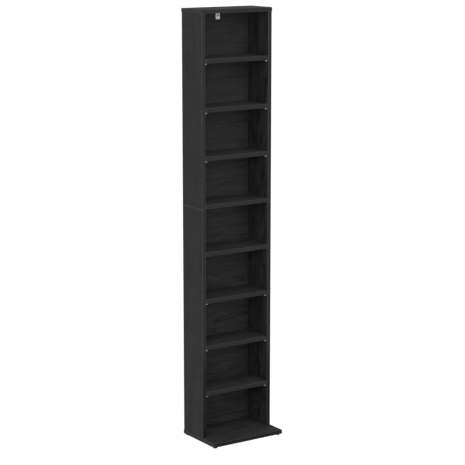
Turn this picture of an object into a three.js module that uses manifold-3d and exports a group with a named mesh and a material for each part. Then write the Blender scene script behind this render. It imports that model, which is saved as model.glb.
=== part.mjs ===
// Tall open storage tower for disc cases, in black oak board.
// Millimetres. X runs left to right, Y front to back, Z up from the floor.
// The origin lies on the floor, under the middle of the base board.

import * as THREE from 'three';
import { mergeVertices } from 'three/addons/utils/BufferGeometryUtils.js';
import Module from 'manifold-3d';

const wasm = await Module();
wasm.setup();

// Driving dimensions
const towerHeight = 1565; // floor to the upper face of the top panel
const caseWidth = 297; // over the outer faces of the side panels
const caseDepth = 130; // side panel, front edge to back edge
const footReach = 76; // base board ahead of the side panels
const boardThickness = 15;
const endOverhang = 1.5; // top panel and base board past each side panel
const compartments = 9;
const fixedShelves = [4, 5]; // counted from the top; the others lie loose on pins

// Board edges and the hairline between boards that meet
const edgeEase = 0.8; // rounding where a face meets an edge band
const cornerEase = 1.2; // rounding of a board's upright corners
const jointGap = 0.1;
const cutOverrun = 1; // how far a cutter runs past the face it opens

// Back panels, let into rebates along the side panels' back edges
const backThickness = 3;
const rebateDepth = 4; // from the side panel's back edge forwards
const rebateWidth = 7; // into the side panel's thickness
const backSideGap = 0.6;

// Loose shelves and their pins
const shelfEndGap = 0.8; // between a loose shelf's end and the side panel
const shelfBackGap = 0.8; // between a loose shelf and the back panel
const pinRadius = 2.5;
const pinStandOut = 9.5; // from the side panel's inner face
const pinChamfer = 0.6;
const pinSetback = 6.5; // pin axis from the shelf's front or back edge
const pinSeatGap = 0.15; // under the loose shelf
const pinSocketFloor = 6.5; // board left behind the socket
const pinSocketGap = 0.15; // round the pin
const pinSides = 12;

// Glued wooden dowels
const dowelRadius = 4;
const dowelSocketGap = 0.15;
const dowelSocketFloor = 4.5;
const dowelEndGap = 0.5;
const dowelChamfer = 1;
const shelfDowelSetback = 38; // from the front and back edges of a fixed shelf
const spliceDowelReach = 16; // out of a lower side panel into the upper one
const spliceDowelSetback = 16;
const dowelSides = 12;

// Cam discs in the upper side panels, and their bolts in the top panel
const camRadius = 7.4;
const camBoreGap = 0.2;
const camFloor = 2.6; // board left behind the bore
const camEndGap = 0.3;
const camFaceDrop = 0.2; // disc's face below the board's face
const camInset = 24; // disc's centre from the side panel's upper end
const camSetback = 32; // disc's centre from the front and back edges
const camHubRadius = 1.3;
const camPullRadiusLocked = 4.9; // inner wall that draws the bolt's head in
const camPullRadiusOpen = 5.6;
const camHeadRoom = 0.4; // round the bolt's head and neck
const camSweepLead = Math.PI / 5; // slot before the locked place
const camSweep = Math.PI; // turn from the entry window to the locked place
const camSteps = 9;
const crossArmLength = 9;
const crossArmWidth = 1.8;
const crossDepthShare = 0.6; // of the disc's wall over the bolt's head
const boltHeadRadius = 3.1;
const boltHeadLength = 2.6;
const boltHeadSeatGap = 0.3; // between the head and the disc's inner wall
const boltNeckRadius = 2.1;
const boltShankRadius = 3.4;
const boltBoreGap = 0.3;
const boltShankEndGap = 0.5; // between the shank and the disc
const boltThreadRadius = 2.5;
const boltThreadFloor = 4; // board left above the thread in the top panel
const boltThreadGap = 0.15;
const boltSides = 12;
const camSides = 20;

// Screws up through the base board into the lower side panels
const baseScrewLength = 50;
const baseScrewHeadRadius = 5;
const baseScrewHeadHeight = 3;
const baseScrewHeadDrop = 0.4; // head below the base board's lower face
const baseScrewShankRadius = 3.4;
const baseScrewCoreRadius = 2.5;
const baseScrewTipLength = 5;
const baseScrewGap = 0.2;
const baseScrewSocketRadius = 2.3;
const baseScrewSocketDepth = 2.4;
const baseScrewSetback = 32;
const screwSides = 12;
const hexSides = 6;

// Push-in glides under the base board
const glideRadius = 7.5;
const glideHeight = 5;
const glideRound = 1.8; // rounding at the floor
const glideArcShares = [0, 0.5, 1]; // of the quarter turn that rounds it
const glidePegRadius = 2.6;
const glidePegLength = 9;
const glidePegChamfer = 0.8;
const glidePegGap = 0.15;
const glideSeatGap = 0.1;
const glideInset = 12; // glide's axis from the base board's edges
const glideSides = 20;

// Anti-tip bracket, an angle moulded in white plastic
const bracketWidth = 17;
const bracketDrop = 29; // down the back panel
const bracketLeg = 26; // forwards under the top panel
const bracketWall = 2.5;
const bracketFillet = 2;
const bracketCorner = 5; // rounding of both free ends
const bracketEase = 0.5;
const bracketScrewPlace = 15.7; // screw axis from the angle's outer corner
const panHeadRadius = 4.5;
const panHeadHeight = 2.8;
const panHeadRound = 1.6;
const panHeadArcShares = [0, 0.33, 0.67, 1]; // of the quarter turn that rounds the head
const panShankRadius = 1.9;
const panTipLength = 2.5;
const panHoleGap = 0.3;
const panThreadReach = 9; // into the top panel
const panCrossLength = 5;
const panCrossWidth = 1.1;
const panCrossDepth = 1.2;

// Levels and places that follow from the sizes above
const baseUnderside = glideHeight;
const baseTop = baseUnderside + boardThickness;
const topUnderside = towerHeight - boardThickness;
const shelfCount = compartments - 1;
const clearHeight = (topUnderside - baseTop - shelfCount * boardThickness) / compartments;
const innerWidth = caseWidth - 2 * boardThickness;
const endWidth = caseWidth + 2 * endOverhang;
const baseDepth = caseDepth + footReach;
const caseFront = baseDepth / 2 - caseDepth;
const backFace = caseDepth - rebateDepth; // front face of the back panel, from the case front
const fixedShelfDepth = backFace - jointGap;
const looseShelfDepth = backFace - shelfBackGap;
const camDepth = boardThickness - camFloor - camEndGap - camFaceDrop;
const boltAxisDepth = boardThickness / 2 - camFaceDrop; // below the disc's face
const lockedAngle = Math.PI / 2; // where the bolt's head sits in the turned disc
const entryAngle = lockedAngle + camSweep;

const shelves = Array.from({ length: shelfCount }, (_, index) => {
  const number = index + 1;
  const top = topUnderside - number * clearHeight - index * boardThickness;
  return { number, top, bottom: top - boardThickness, fixed: fixedShelves.includes(number) };
});
const spliceShelf = shelves[fixedShelves[0] - 1];
const spliceLevel = spliceShelf.bottom;
const backJoint = (spliceShelf.top + spliceShelf.bottom) / 2;
const sections = {
  lower: { bottom: baseTop + jointGap, top: spliceLevel },
  upper: { bottom: spliceLevel + jointGap, top: topUnderside - jointGap },
};

// Finishes
const blackOak = new THREE.Color(0.035, 0.035, 0.036);
const blackFibreboard = new THREE.Color(0.03, 0.03, 0.031);
const brightSteel = new THREE.Color(0.62, 0.62, 0.63);
const zincAlloy = new THREE.Color(0.42, 0.42, 0.43);
const whitePlastic = new THREE.Color(0.86, 0.86, 0.85);
const blackPlastic = new THREE.Color(0.02, 0.02, 0.02);

function oakFinish() {
  return new THREE.MeshStandardMaterial({ color: blackOak, roughness: 0.55, metalness: 0 });
}

function backFinish() {
  return new THREE.MeshStandardMaterial({ color: blackFibreboard, roughness: 0.65, metalness: 0 });
}

function steelFinish() {
  return new THREE.MeshStandardMaterial({ color: brightSteel, roughness: 0.3, metalness: 1 });
}

function zincFinish() {
  return new THREE.MeshStandardMaterial({ color: zincAlloy, roughness: 0.5, metalness: 1 });
}

function whiteFinish() {
  return new THREE.MeshStandardMaterial({ color: whitePlastic, roughness: 0.4, metalness: 0 });
}

function glideFinish() {
  return new THREE.MeshStandardMaterial({ color: blackPlastic, roughness: 0.5, metalness: 0 });
}

// Solids and meshes

// Six times the volume that the triangle closes with the origin.
function wedge(place, a, b, c) {
  const corner = (index) => new THREE.Vector3().fromBufferAttribute(place, index);
  return corner(a).dot(corner(b).cross(corner(c)));
}

// A closed geometry as a solid: corners merged, empty triangles dropped, faces turned outwards.
function solidFrom(geometry) {
  const bare = geometry.clone();
  bare.deleteAttribute('normal');
  bare.deleteAttribute('uv');
  const merged = mergeVertices(bare);
  const place = merged.getAttribute('position');
  const corners = merged.index.array;
  const kept = [];
  let volume = 0;
  for (let i = 0; i < corners.length; i += 3) {
    const [a, b, c] = corners.subarray(i, i + 3);
    if (a !== b && b !== c && c !== a) {
      kept.push(a, b, c);
      volume += wedge(place, a, b, c);
    }
  }
  const triVerts = new Uint32Array(volume < 0 ? kept.reverse() : kept);
  const vertProperties = new Float32Array(place.array);
  return new wasm.Manifold(new wasm.Mesh({ numProp: 3, vertProperties, triVerts }));
}

function piece(name, solid, finish) {
  const { vertProperties, triVerts } = solid.getMesh();
  const geometry = new THREE.BufferGeometry();
  geometry.setAttribute('position', new THREE.BufferAttribute(vertProperties, 3));
  geometry.setIndex(new THREE.BufferAttribute(triVerts, 1));
  geometry.computeVertexNormals();
  const mesh = new THREE.Mesh(geometry, finish);
  mesh.name = name;
  return mesh;
}

function cutAll(solid, cutters) {
  return cutters.reduce((left, cutter) => left.subtract(cutter), solid);
}

function joinAll(solid, additions) {
  return additions.reduce((whole, addition) => whole.add(addition), solid);
}

// A rectangle in the XY plane with its four corners rounded.
function roundedRectangle(low, high, radius) {
  const outline = new THREE.Shape();
  outline.absarc(high.x - radius, low.y + radius, radius, -Math.PI / 2, 0, false);
  outline.absarc(high.x - radius, high.y - radius, radius, 0, Math.PI / 2, false);
  outline.absarc(low.x + radius, high.y - radius, radius, Math.PI / 2, Math.PI, false);
  outline.absarc(low.x + radius, low.y + radius, radius, Math.PI, 1.5 * Math.PI, false);
  outline.closePath();
  return outline;
}

// A board between two opposite corners, with every edge eased.
function easedBoard(low, high) {
  const geometry = new THREE.ExtrudeGeometry(roundedRectangle(low, high, cornerEase), {
    depth: high.z - low.z - 2 * edgeEase,
    bevelThickness: edgeEase,
    bevelSize: edgeEase,
    bevelOffset: -edgeEase,
    bevelSegments: 2,
    curveSegments: 1,
  });
  geometry.translate(0, 0, low.z + edgeEase);
  return solidFrom(geometry);
}

function block(low, high) {
  const size = new THREE.Vector3().subVectors(high, low);
  const geometry = new THREE.BoxGeometry(size.x, size.y, size.z);
  geometry.translate((low.x + high.x) / 2, (low.y + high.y) / 2, (low.z + high.z) / 2);
  return solidFrom(geometry);
}

const latheAxis = new THREE.Vector3(0, 1, 0);
const upwards = new THREE.Vector3(0, 0, 1);

// A turned solid from pairs of radius and distance along its axis, which leaves start towards aim.
function turned(profile, sides, start = new THREE.Vector3(), aim = upwards) {
  const points = profile.map(([radius, distance]) => new THREE.Vector2(radius, distance));
  const geometry = new THREE.LatheGeometry(points, sides);
  geometry.applyQuaternion(new THREE.Quaternion().setFromUnitVectors(latheAxis, aim));
  geometry.translate(start.x, start.y, start.z);
  return solidFrom(geometry);
}

function aimFrom(start, end) {
  return new THREE.Vector3().subVectors(end, start).normalize();
}

// A round rod from one point to another.
function rod(radius, start, end, sides) {
  const length = start.distanceTo(end);
  const profile = [[0, 0], [radius, 0], [radius, length], [0, length]];
  return turned(profile, sides, start, aimFrom(start, end));
}

// A wooden dowel, chamfered at its far end.
function dowel(start, end) {
  const length = start.distanceTo(end);
  const profile = [
    [0, 0],
    [dowelRadius, 0],
    [dowelRadius, length - dowelChamfer],
    [dowelRadius - dowelChamfer, length],
    [0, length],
  ];
  return turned(profile, dowelSides, start, aimFrom(start, end));
}

// Side panels. Each is drawn with its inner face at x = 0, its front edge at y = 0 and its lower
// end at z = 0; hand is 1 for the right side and -1 for the left.

function inSection(shelf, section) {
  return shelf.top > section.bottom && shelf.top <= section.top;
}

function pinPlaces() {
  return [pinSetback, looseShelfDepth - pinSetback];
}

function pinLevel(shelf) {
  return shelf.bottom - pinSeatGap - pinRadius;
}

// Front and back places at one setback from a board's edges.
function pairAt(setback, depth) {
  return [setback, depth - setback];
}

function backRebate(hand, height) {
  const low = new THREE.Vector3(-cutOverrun, backFace, -cutOverrun);
  const high = new THREE.Vector3(rebateWidth, caseDepth + cutOverrun, height + cutOverrun);
  if (hand < 0) {
    [low.x, high.x] = [-high.x, -low.x];
  }
  return block(low, high);
}

// Blind sockets in the inner face for a shelf's pins, or for a fixed shelf's dowels.
function shelfSockets(hand, section, shelf) {
  const socket = (radius, depth, y, level) =>
    rod(
      radius,
      new THREE.Vector3(-hand * cutOverrun, y, level - section.bottom),
      new THREE.Vector3(hand * depth, y, level - section.bottom),
      shelf.fixed ? dowelSides : pinSides,
    );
  if (shelf.fixed) {
    const middle = (shelf.top + shelf.bottom) / 2;
    return pairAt(shelfDowelSetback, fixedShelfDepth).map((y) =>
      socket(dowelRadius + dowelSocketGap, boardThickness - dowelSocketFloor, y, middle));
  }
  return pinPlaces().map((y) =>
    socket(pinRadius + pinSocketGap, boardThickness - pinSocketFloor, y, pinLevel(shelf)));
}

// Cam disc bores in the inner face and the bolt bores that reach them from the upper end.
function camBores(hand, height) {
  const axisX = (hand * boardThickness) / 2;
  return pairAt(camSetback, caseDepth).flatMap((y) => [
    rod(
      camRadius + camBoreGap,
      new THREE.Vector3(-hand * cutOverrun, y, height - camInset),
      new THREE.Vector3(hand * (boardThickness - camFloor), y, height - camInset),
      camSides,
    ),
    rod(
      boltShankRadius + boltBoreGap,
      new THREE.Vector3(axisX, y, height - camInset),
      new THREE.Vector3(axisX, y, height + cutOverrun),
      boltSides,
    ),
  ]);
}

function spliceSockets(hand) {
  const axisX = (hand * boardThickness) / 2;
  return pairAt(spliceDowelSetback, caseDepth).map((y) =>
    rod(
      dowelRadius + dowelSocketGap,
      new THREE.Vector3(axisX, y, -cutOverrun),
      new THREE.Vector3(axisX, y, spliceDowelReach + dowelEndGap),
      dowelSides,
    ));
}

function spliceDowels(hand, height) {
  const axisX = (hand * boardThickness) / 2;
  return pairAt(spliceDowelSetback, caseDepth).map((y) =>
    dowel(
      new THREE.Vector3(axisX, y, height - spliceDowelReach),
      new THREE.Vector3(axisX, y, height + spliceDowelReach),
    ));
}

function baseScrewBores(hand) {
  const axisX = (hand * boardThickness) / 2;
  const depth = baseScrewHeadDrop + baseScrewLength - boardThickness + cutOverrun;
  return pairAt(baseScrewSetback, caseDepth).map((y) =>
    rod(
      baseScrewCoreRadius + baseScrewGap,
      new THREE.Vector3(axisX, y, -cutOverrun),
      new THREE.Vector3(axisX, y, depth),
      screwSides,
    ));
}

function sidePanel(name, hand, section) {
  const height = section.top - section.bottom;
  const outerX = hand * boardThickness;
  const blank = easedBoard(
    new THREE.Vector3(Math.min(0, outerX), 0, 0),
    new THREE.Vector3(Math.max(0, outerX), caseDepth, height),
  );
  const own = shelves.filter((shelf) => inSection(shelf, section));
  const sockets = own.flatMap((shelf) => shelfSockets(hand, section, shelf));
  const isUpper = section === sections.upper;
  const endBores = isUpper
    ? [...camBores(hand, height), ...spliceSockets(hand)]
    : baseScrewBores(hand);
  const cut = cutAll(blank, [backRebate(hand, height), ...sockets, ...endBores]);
  const solid = isUpper ? cut : joinAll(cut, spliceDowels(hand, height));
  const mesh = piece(name, solid, oakFinish());
  mesh.position.set((hand * innerWidth) / 2, 0, section.bottom);
  return mesh;
}

// Shelves. Each is drawn about the middle of its width, front edge at y = 0, lower face at z = 0.

function shelfBlank(width, depth) {
  return easedBoard(
    new THREE.Vector3(-width / 2, 0, 0),
    new THREE.Vector3(width / 2, depth, boardThickness),
  );
}

function looseShelf(shelf) {
  const solid = shelfBlank(innerWidth - 2 * shelfEndGap, looseShelfDepth);
  const mesh = piece(`loose_shelf_${shelf.number}`, solid, oakFinish());
  mesh.position.z = shelf.bottom;
  return mesh;
}

function fixedShelf(shelf) {
  const halfWidth = innerWidth / 2 - jointGap;
  const reach = innerWidth / 2 + boardThickness - dowelSocketFloor - dowelEndGap;
  const z = boardThickness / 2;
  const dowels = [-1, 1].flatMap((end) =>
    pairAt(shelfDowelSetback, fixedShelfDepth).map((y) =>
      dowel(
        new THREE.Vector3(end * (halfWidth - spliceDowelReach), y, z),
        new THREE.Vector3(end * reach, y, z),
      )));
  const solid = joinAll(shelfBlank(2 * halfWidth, fixedShelfDepth), dowels);
  const mesh = piece(`fixed_shelf_${shelf.number}`, solid, oakFinish());
  mesh.position.z = shelf.bottom;
  return mesh;
}

// Steel pins, half in the side panel and half under a loose shelf. Each is drawn with the side
// panel's inner face at z = 0 and its free end above.

function shelfPin(name, hand, y, level) {
  const buried = boardThickness - pinSocketFloor - dowelEndGap;
  const profile = [
    [0, -buried],
    [pinRadius - pinChamfer, -buried],
    [pinRadius, pinChamfer - buried],
    [pinRadius, pinStandOut - pinChamfer],
    [pinRadius - pinChamfer, pinStandOut],
    [0, pinStandOut],
  ];
  const mesh = piece(name, turned(profile, pinSides), steelFinish());
  mesh.rotation.y = (-hand * Math.PI) / 2;
  mesh.position.set((hand * innerWidth) / 2, y, level);
  return mesh;
}

function pinsUnder(shelf) {
  const [front, back] = pinPlaces();
  const level = pinLevel(shelf);
  const stem = `shelf_${shelf.number}_pin`;
  return [
    shelfPin(`${stem}_front_left`, -1, front, level),
    shelfPin(`${stem}_front_right`, 1, front, level),
    shelfPin(`${stem}_back_left`, -1, back, level),
    shelfPin(`${stem}_back_right`, 1, back, level),
  ];
}

// Cam disc, drawn with its slotted face at z = 0, its body below, and the bolt coming along +Y.
// The head enters at the window, and a turn of the disc draws it along the narrowing inner wall.

function pullRadius(angle) {
  const turn = THREE.MathUtils.clamp((angle - lockedAngle) / camSweep, 0, 1);
  return THREE.MathUtils.lerp(camPullRadiusLocked, camPullRadiusOpen, turn);
}

// A sector between two radii, each a function of the angle, cut evenly about the bolt's axis.
function camSlot(innerRadius, outerRadius, halfHeight) {
  const start = lockedAngle - camSweepLead;
  const angles = Array.from({ length: camSteps + 1 }, (_, step) =>
    THREE.MathUtils.lerp(start, entryAngle, step / camSteps));
  const at = (radius) => (angle) =>
    new THREE.Vector2(radius(angle) * Math.cos(angle), radius(angle) * Math.sin(angle));
  const outline = [...angles.map(at(outerRadius)), ...angles.map(at(innerRadius)).reverse()];
  const geometry = new THREE.ExtrudeGeometry(new THREE.Shape(outline), {
    depth: 2 * halfHeight,
    bevelEnabled: false,
  });
  geometry.translate(0, 0, -boltAxisDepth - halfHeight);
  return solidFrom(geometry);
}

function camRadial(angle, radius, from, to) {
  const direction = new THREE.Vector3(Math.cos(angle), Math.sin(angle), 0);
  const start = direction.clone().multiplyScalar(from);
  const end = direction.clone().multiplyScalar(to);
  start.z = -boltAxisDepth;
  end.z = -boltAxisDepth;
  return rod(radius, start, end, boltSides);
}

// Two crossed arms sunk into a face at the given level, as the recess that a screwdriver turns.
function crossRecess(length, width, depth, level) {
  const arm = (x, y) =>
    block(
      new THREE.Vector3(-x / 2, -y / 2, level - depth),
      new THREE.Vector3(x / 2, y / 2, level + cutOverrun),
    );
  return arm(length, width).add(arm(width, length));
}

function camDisc(name, hand, y, level) {
  const headRoom = boltHeadRadius + camHeadRoom;
  const neckRoom = boltNeckRadius + camHeadRoom;
  const rim = camRadius + cutOverrun;
  const crossDepth = crossDepthShare * (boltAxisDepth - headRoom);
  const disc = rod(
    camRadius, new THREE.Vector3(0, 0, -camDepth), new THREE.Vector3(0, 0, 0), camSides);
  const solid = cutAll(disc, [
    camSlot(() => camHubRadius, pullRadius, headRoom),
    camSlot(() => camHubRadius, () => rim, neckRoom),
    camRadial(lockedAngle, headRoom, camHubRadius, camPullRadiusLocked),
    camRadial(lockedAngle, neckRoom, camHubRadius, rim),
    camRadial(entryAngle, headRoom, camHubRadius, rim),
    crossRecess(crossArmLength, crossArmWidth, crossDepth, 0),
  ]);
  const mesh = piece(name, solid, zincFinish());
  mesh.rotation.setFromRotationMatrix(new THREE.Matrix4().makeBasis(
    new THREE.Vector3(0, -hand, 0),
    new THREE.Vector3(0, 0, 1),
    new THREE.Vector3(-hand, 0, 0),
  ));
  mesh.position.set(hand * (innerWidth / 2 + camFaceDrop), y, level);
  return mesh;
}

// Cam bolt, drawn with the top panel's lower face at z = 0, its thread below and its head above,
// and hung head down.
function camBolt(name, hand, y) {
  const threadLength = boardThickness - boltThreadFloor - boltThreadGap;
  const seat = camInset + jointGap - camPullRadiusLocked + boltHeadSeatGap;
  const shankEnd = camInset + jointGap - camRadius - boltShankEndGap;
  const profile = [
    [0, -threadLength],
    [boltThreadRadius, -threadLength],
    [boltThreadRadius, jointGap],
    [boltShankRadius, jointGap],
    [boltShankRadius, shankEnd],
    [boltNeckRadius, shankEnd],
    [boltNeckRadius, seat],
    [boltHeadRadius, seat],
    [boltHeadRadius, seat + boltHeadLength],
    [0, seat + boltHeadLength],
  ];
  const mesh = piece(name, turned(profile, boltSides), steelFinish());
  mesh.rotation.x = Math.PI;
  mesh.position.set((hand * (innerWidth + boardThickness)) / 2, y, topUnderside);
  return mesh;
}

function camLocks(side, hand) {
  const [front, back] = pairAt(camSetback, caseDepth);
  const level = sections.upper.top - camInset;
  return [
    camDisc(`cam_disc_${side}_front`, hand, front, level),
    camDisc(`cam_disc_${side}_back`, hand, back, level),
    camBolt(`cam_bolt_${side}_front`, hand, front),
    camBolt(`cam_bolt_${side}_back`, hand, back),
  ];
}

// Top panel, drawn with its lower face at z = 0 and its front edge at y = 0.
function topPanel() {
  const blank = easedBoard(
    new THREE.Vector3(-endWidth / 2, 0, 0),
    new THREE.Vector3(endWidth / 2, caseDepth, boardThickness),
  );
  const boltAxisX = (innerWidth + boardThickness) / 2;
  const threadBores = [-boltAxisX, boltAxisX].flatMap((x) =>
    pairAt(camSetback, caseDepth).map((y) =>
      rod(
        boltThreadRadius + boltThreadGap,
        new THREE.Vector3(x, y, -cutOverrun),
        new THREE.Vector3(x, y, boardThickness - boltThreadFloor),
        boltSides,
      )));
  const bracketPilot = rod(
    panShankRadius + boltThreadGap,
    new THREE.Vector3(0, backFace - jointGap - bracketScrewPlace, -cutOverrun),
    new THREE.Vector3(0, backFace - jointGap - bracketScrewPlace, panThreadReach + dowelEndGap),
    boltSides,
  );
  const mesh = piece('top_panel', cutAll(blank, [...threadBores, bracketPilot]), oakFinish());
  mesh.position.z = topUnderside;
  return mesh;
}

// Back panels, plain thin sheets from base to shelf joint and from there to the top panel.
function backPanel(name, bottom, top, cutters) {
  const halfWidth = innerWidth / 2 + rebateWidth - backSideGap;
  const sheet = block(
    new THREE.Vector3(-halfWidth, jointGap, bottom + jointGap),
    new THREE.Vector3(halfWidth, jointGap + backThickness, top - jointGap),
  );
  const mesh = piece(name, cutAll(sheet, cutters), backFinish());
  mesh.position.y = backFace;
  return mesh;
}

function backPanels() {
  const level = topUnderside - jointGap - bracketScrewPlace;
  const wallScrewHole = rod(
    panShankRadius + panHoleGap,
    new THREE.Vector3(0, -cutOverrun, level),
    new THREE.Vector3(0, jointGap + backThickness + cutOverrun, level),
    boltSides,
  );
  return [
    backPanel('back_panel_lower', baseTop, backJoint, []),
    backPanel('back_panel_upper', backJoint, topUnderside, [wallScrewHole]),
  ];
}

// Anti-tip bracket, drawn with its outer corner at the origin: one leg hangs down the back panel
// and the other runs forwards under the top panel.
function bracketAngle() {
  const profile = new THREE.Shape();
  profile.moveTo(0, 0);
  profile.lineTo(-bracketLeg, 0);
  profile.lineTo(-bracketLeg, -bracketWall);
  profile.lineTo(-bracketWall - bracketFillet, -bracketWall);
  profile.absarc(
    -bracketWall - bracketFillet, -bracketWall - bracketFillet, bracketFillet, Math.PI / 2, 0, true);
  profile.lineTo(-bracketWall, -bracketDrop);
  profile.lineTo(0, -bracketDrop);
  profile.closePath();
  const geometry = new THREE.ExtrudeGeometry(profile, {
    depth: bracketWidth - 2 * bracketEase,
    bevelThickness: bracketEase,
    bevelSize: bracketEase,
    bevelOffset: -bracketEase,
    bevelSegments: 1,
    curveSegments: 4,
  });
  geometry.translate(0, 0, bracketEase - bracketWidth / 2);
  // The profile's x becomes front to back, its y up, and the extrusion left to right.
  geometry.applyMatrix4(new THREE.Matrix4().makeBasis(
    new THREE.Vector3(0, 1, 0),
    new THREE.Vector3(0, 0, 1),
    new THREE.Vector3(1, 0, 0),
  ));
  return solidFrom(geometry);
}

// The angle's plan from above or from the front: straight at the corner, rounded at the free end.
function bracketOutline(reach) {
  const half = bracketWidth / 2;
  const outline = new THREE.Shape();
  outline.moveTo(-half, cutOverrun);
  outline.lineTo(-half, bracketCorner - reach);
  outline.absarc(bracketCorner - half, bracketCorner - reach, bracketCorner, Math.PI, 1.5 * Math.PI);
  outline.absarc(half - bracketCorner, bracketCorner - reach, bracketCorner, 1.5 * Math.PI, 2 * Math.PI);
  outline.lineTo(half, cutOverrun);
  outline.closePath();
  return outline;
}

function bracket() {
  const span = bracketDrop + bracketLeg + cutOverrun;
  const settings = { depth: 2 * span, bevelEnabled: false, curveSegments: 4 };
  const plan = new THREE.ExtrudeGeometry(bracketOutline(bracketLeg), settings);
  plan.translate(0, 0, -span);
  const front = new THREE.ExtrudeGeometry(bracketOutline(bracketDrop), settings);
  front.translate(0, 0, -span);
  front.rotateX(Math.PI / 2);
  const holeRadius = panShankRadius + panHoleGap;
  const wallHole = rod(
    holeRadius,
    new THREE.Vector3(0, -bracketWall - bracketFillet, -bracketScrewPlace),
    new THREE.Vector3(0, cutOverrun, -bracketScrewPlace),
    boltSides,
  );
  const topHole = rod(
    holeRadius,
    new THREE.Vector3(0, -bracketScrewPlace, -bracketWall - bracketFillet),
    new THREE.Vector3(0, -bracketScrewPlace, cutOverrun),
    boltSides,
  );
  const rounded = bracketAngle().intersect(solidFrom(plan)).intersect(solidFrom(front));
  const mesh = piece('anti_tip_bracket', cutAll(rounded, [wallHole, topHole]), whiteFinish());
  mesh.position.set(0, backFace - jointGap, topUnderside - jointGap);
  return mesh;
}

// Pan-head screw, drawn with the head's seat at z = 0, the head above and the shank below.
function panScrew(name, length) {
  const headArc = panHeadArcShares.map((share) => {
    const angle = (share * Math.PI) / 2;
    return [
      panHeadRadius - panHeadRound * (1 - Math.cos(angle)),
      panHeadHeight - panHeadRound * (1 - Math.sin(angle)),
    ];
  });
  const profile = [
    [0, -length],
    [panShankRadius, panTipLength - length],
    [panShankRadius, 0],
    [panHeadRadius, 0],
    ...headArc,
    [0, panHeadHeight],
  ];
  const recess = crossRecess(panCrossLength, panCrossWidth, panCrossDepth, panHeadHeight);
  return piece(name, turned(profile, screwSides).subtract(recess), steelFinish());
}

function bracketScrews() {
  const seat = bracketWall + jointGap;
  const wallScrew = panScrew(
    'bracket_wall_screw', seat + 2 * jointGap + backThickness);
  wallScrew.rotation.x = Math.PI / 2;
  wallScrew.position.set(
    0, backFace - jointGap - seat, topUnderside - jointGap - bracketScrewPlace);
  const topScrew = panScrew('bracket_top_screw', seat + jointGap + panThreadReach);
  topScrew.rotation.x = Math.PI;
  topScrew.position.set(
    0, backFace - jointGap - bracketScrewPlace, topUnderside - jointGap - seat);
  return [wallScrew, topScrew];
}

// Base board, drawn with its lower face at z = 0 and the side panels' front edge at y = 0.
function baseBoard() {
  const blank = easedBoard(
    new THREE.Vector3(-endWidth / 2, -footReach, 0),
    new THREE.Vector3(endWidth / 2, caseDepth, boardThickness),
  );
  const pegBores = glidePlaces().map(({ x, y }) =>
    rod(
      glidePegRadius + glidePegGap,
      new THREE.Vector3(x, y, -cutOverrun),
      new THREE.Vector3(x, y, glidePegLength + glidePegGap),
      boltSides,
    ));
  const screwBores = baseScrewPlaces().flatMap(({ x, y }) => [
    rod(
      baseScrewShankRadius + baseScrewGap,
      new THREE.Vector3(x, y, -cutOverrun),
      new THREE.Vector3(x, y, boardThickness + cutOverrun),
      screwSides,
    ),
    countersink(x, y),
  ]);
  const mesh = piece('base_board', cutAll(blank, [...pegBores, ...screwBores]), oakFinish());
  mesh.position.z = baseUnderside;
  return mesh;
}

function countersink(x, y) {
  const mouth = baseScrewHeadRadius + baseScrewGap;
  const throat = baseScrewShankRadius + baseScrewGap;
  const profile = [
    [0, -cutOverrun],
    [mouth, -cutOverrun],
    [mouth, baseScrewHeadDrop + baseScrewGap],
    [throat, baseScrewHeadDrop + baseScrewGap + baseScrewHeadHeight],
    [0, baseScrewHeadDrop + baseScrewGap + baseScrewHeadHeight],
  ];
  return turned(profile, screwSides, new THREE.Vector3(x, y, 0));
}

function baseScrewPlaces() {
  const axisX = (innerWidth + boardThickness) / 2;
  return [-axisX, axisX].flatMap((x) => pairAt(baseScrewSetback, caseDepth).map((y) => ({ x, y })));
}

// Screw with a sunk hexagon socket, drawn with its head's outer face at z = 0, pointing up.
function baseScrew(name, { x, y }) {
  const shankEnd = boardThickness - baseScrewHeadDrop;
  const profile = [
    [0, 0],
    [baseScrewHeadRadius, 0],
    [baseScrewShankRadius, baseScrewHeadHeight],
    [baseScrewShankRadius, shankEnd],
    [baseScrewCoreRadius, shankEnd],
    [baseScrewCoreRadius, baseScrewLength - baseScrewTipLength],
    [0, baseScrewLength],
  ];
  const socket = rod(
    baseScrewSocketRadius,
    new THREE.Vector3(0, 0, -cutOverrun),
    new THREE.Vector3(0, 0, baseScrewSocketDepth),
    hexSides,
  );
  const mesh = piece(name, turned(profile, screwSides).subtract(socket), zincFinish());
  mesh.position.set(x, y, baseUnderside + baseScrewHeadDrop);
  return mesh;
}

function baseScrews() {
  const names = ['left_front', 'left_back', 'right_front', 'right_back'];
  return baseScrewPlaces().map((place, index) => baseScrew(`base_screw_${names[index]}`, place));
}

// Glides, pushed into the base board from below.

function glidePlaces() {
  const x = endWidth / 2 - glideInset;
  const front = glideInset - footReach;
  const back = caseDepth - glideInset;
  return [
    { name: 'glide_front_left', x: -x, y: front },
    { name: 'glide_front_right', x, y: front },
    { name: 'glide_back_left', x: -x, y: back },
    { name: 'glide_back_right', x, y: back },
  ];
}

function glide({ name, x, y }) {
  const seat = glideHeight - glideSeatGap;
  const round = glideArcShares.map((share) => {
    const angle = (share * Math.PI) / 2;
    return [
      glideRadius - glideRound * (1 - Math.sin(angle)),
      glideRound * (1 - Math.cos(angle)),
    ];
  });
  const pegTop = glideHeight + glidePegLength;
  const profile = [
    [0, 0],
    ...round,
    [glideRadius, seat],
    [glidePegRadius, seat],
    [glidePegRadius, pegTop - glidePegChamfer],
    [glidePegRadius - glidePegChamfer, pegTop],
    [0, pegTop],
  ];
  const mesh = piece(name, turned(profile, glideSides), glideFinish());
  mesh.position.set(x, y, 0);
  return mesh;
}

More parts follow.
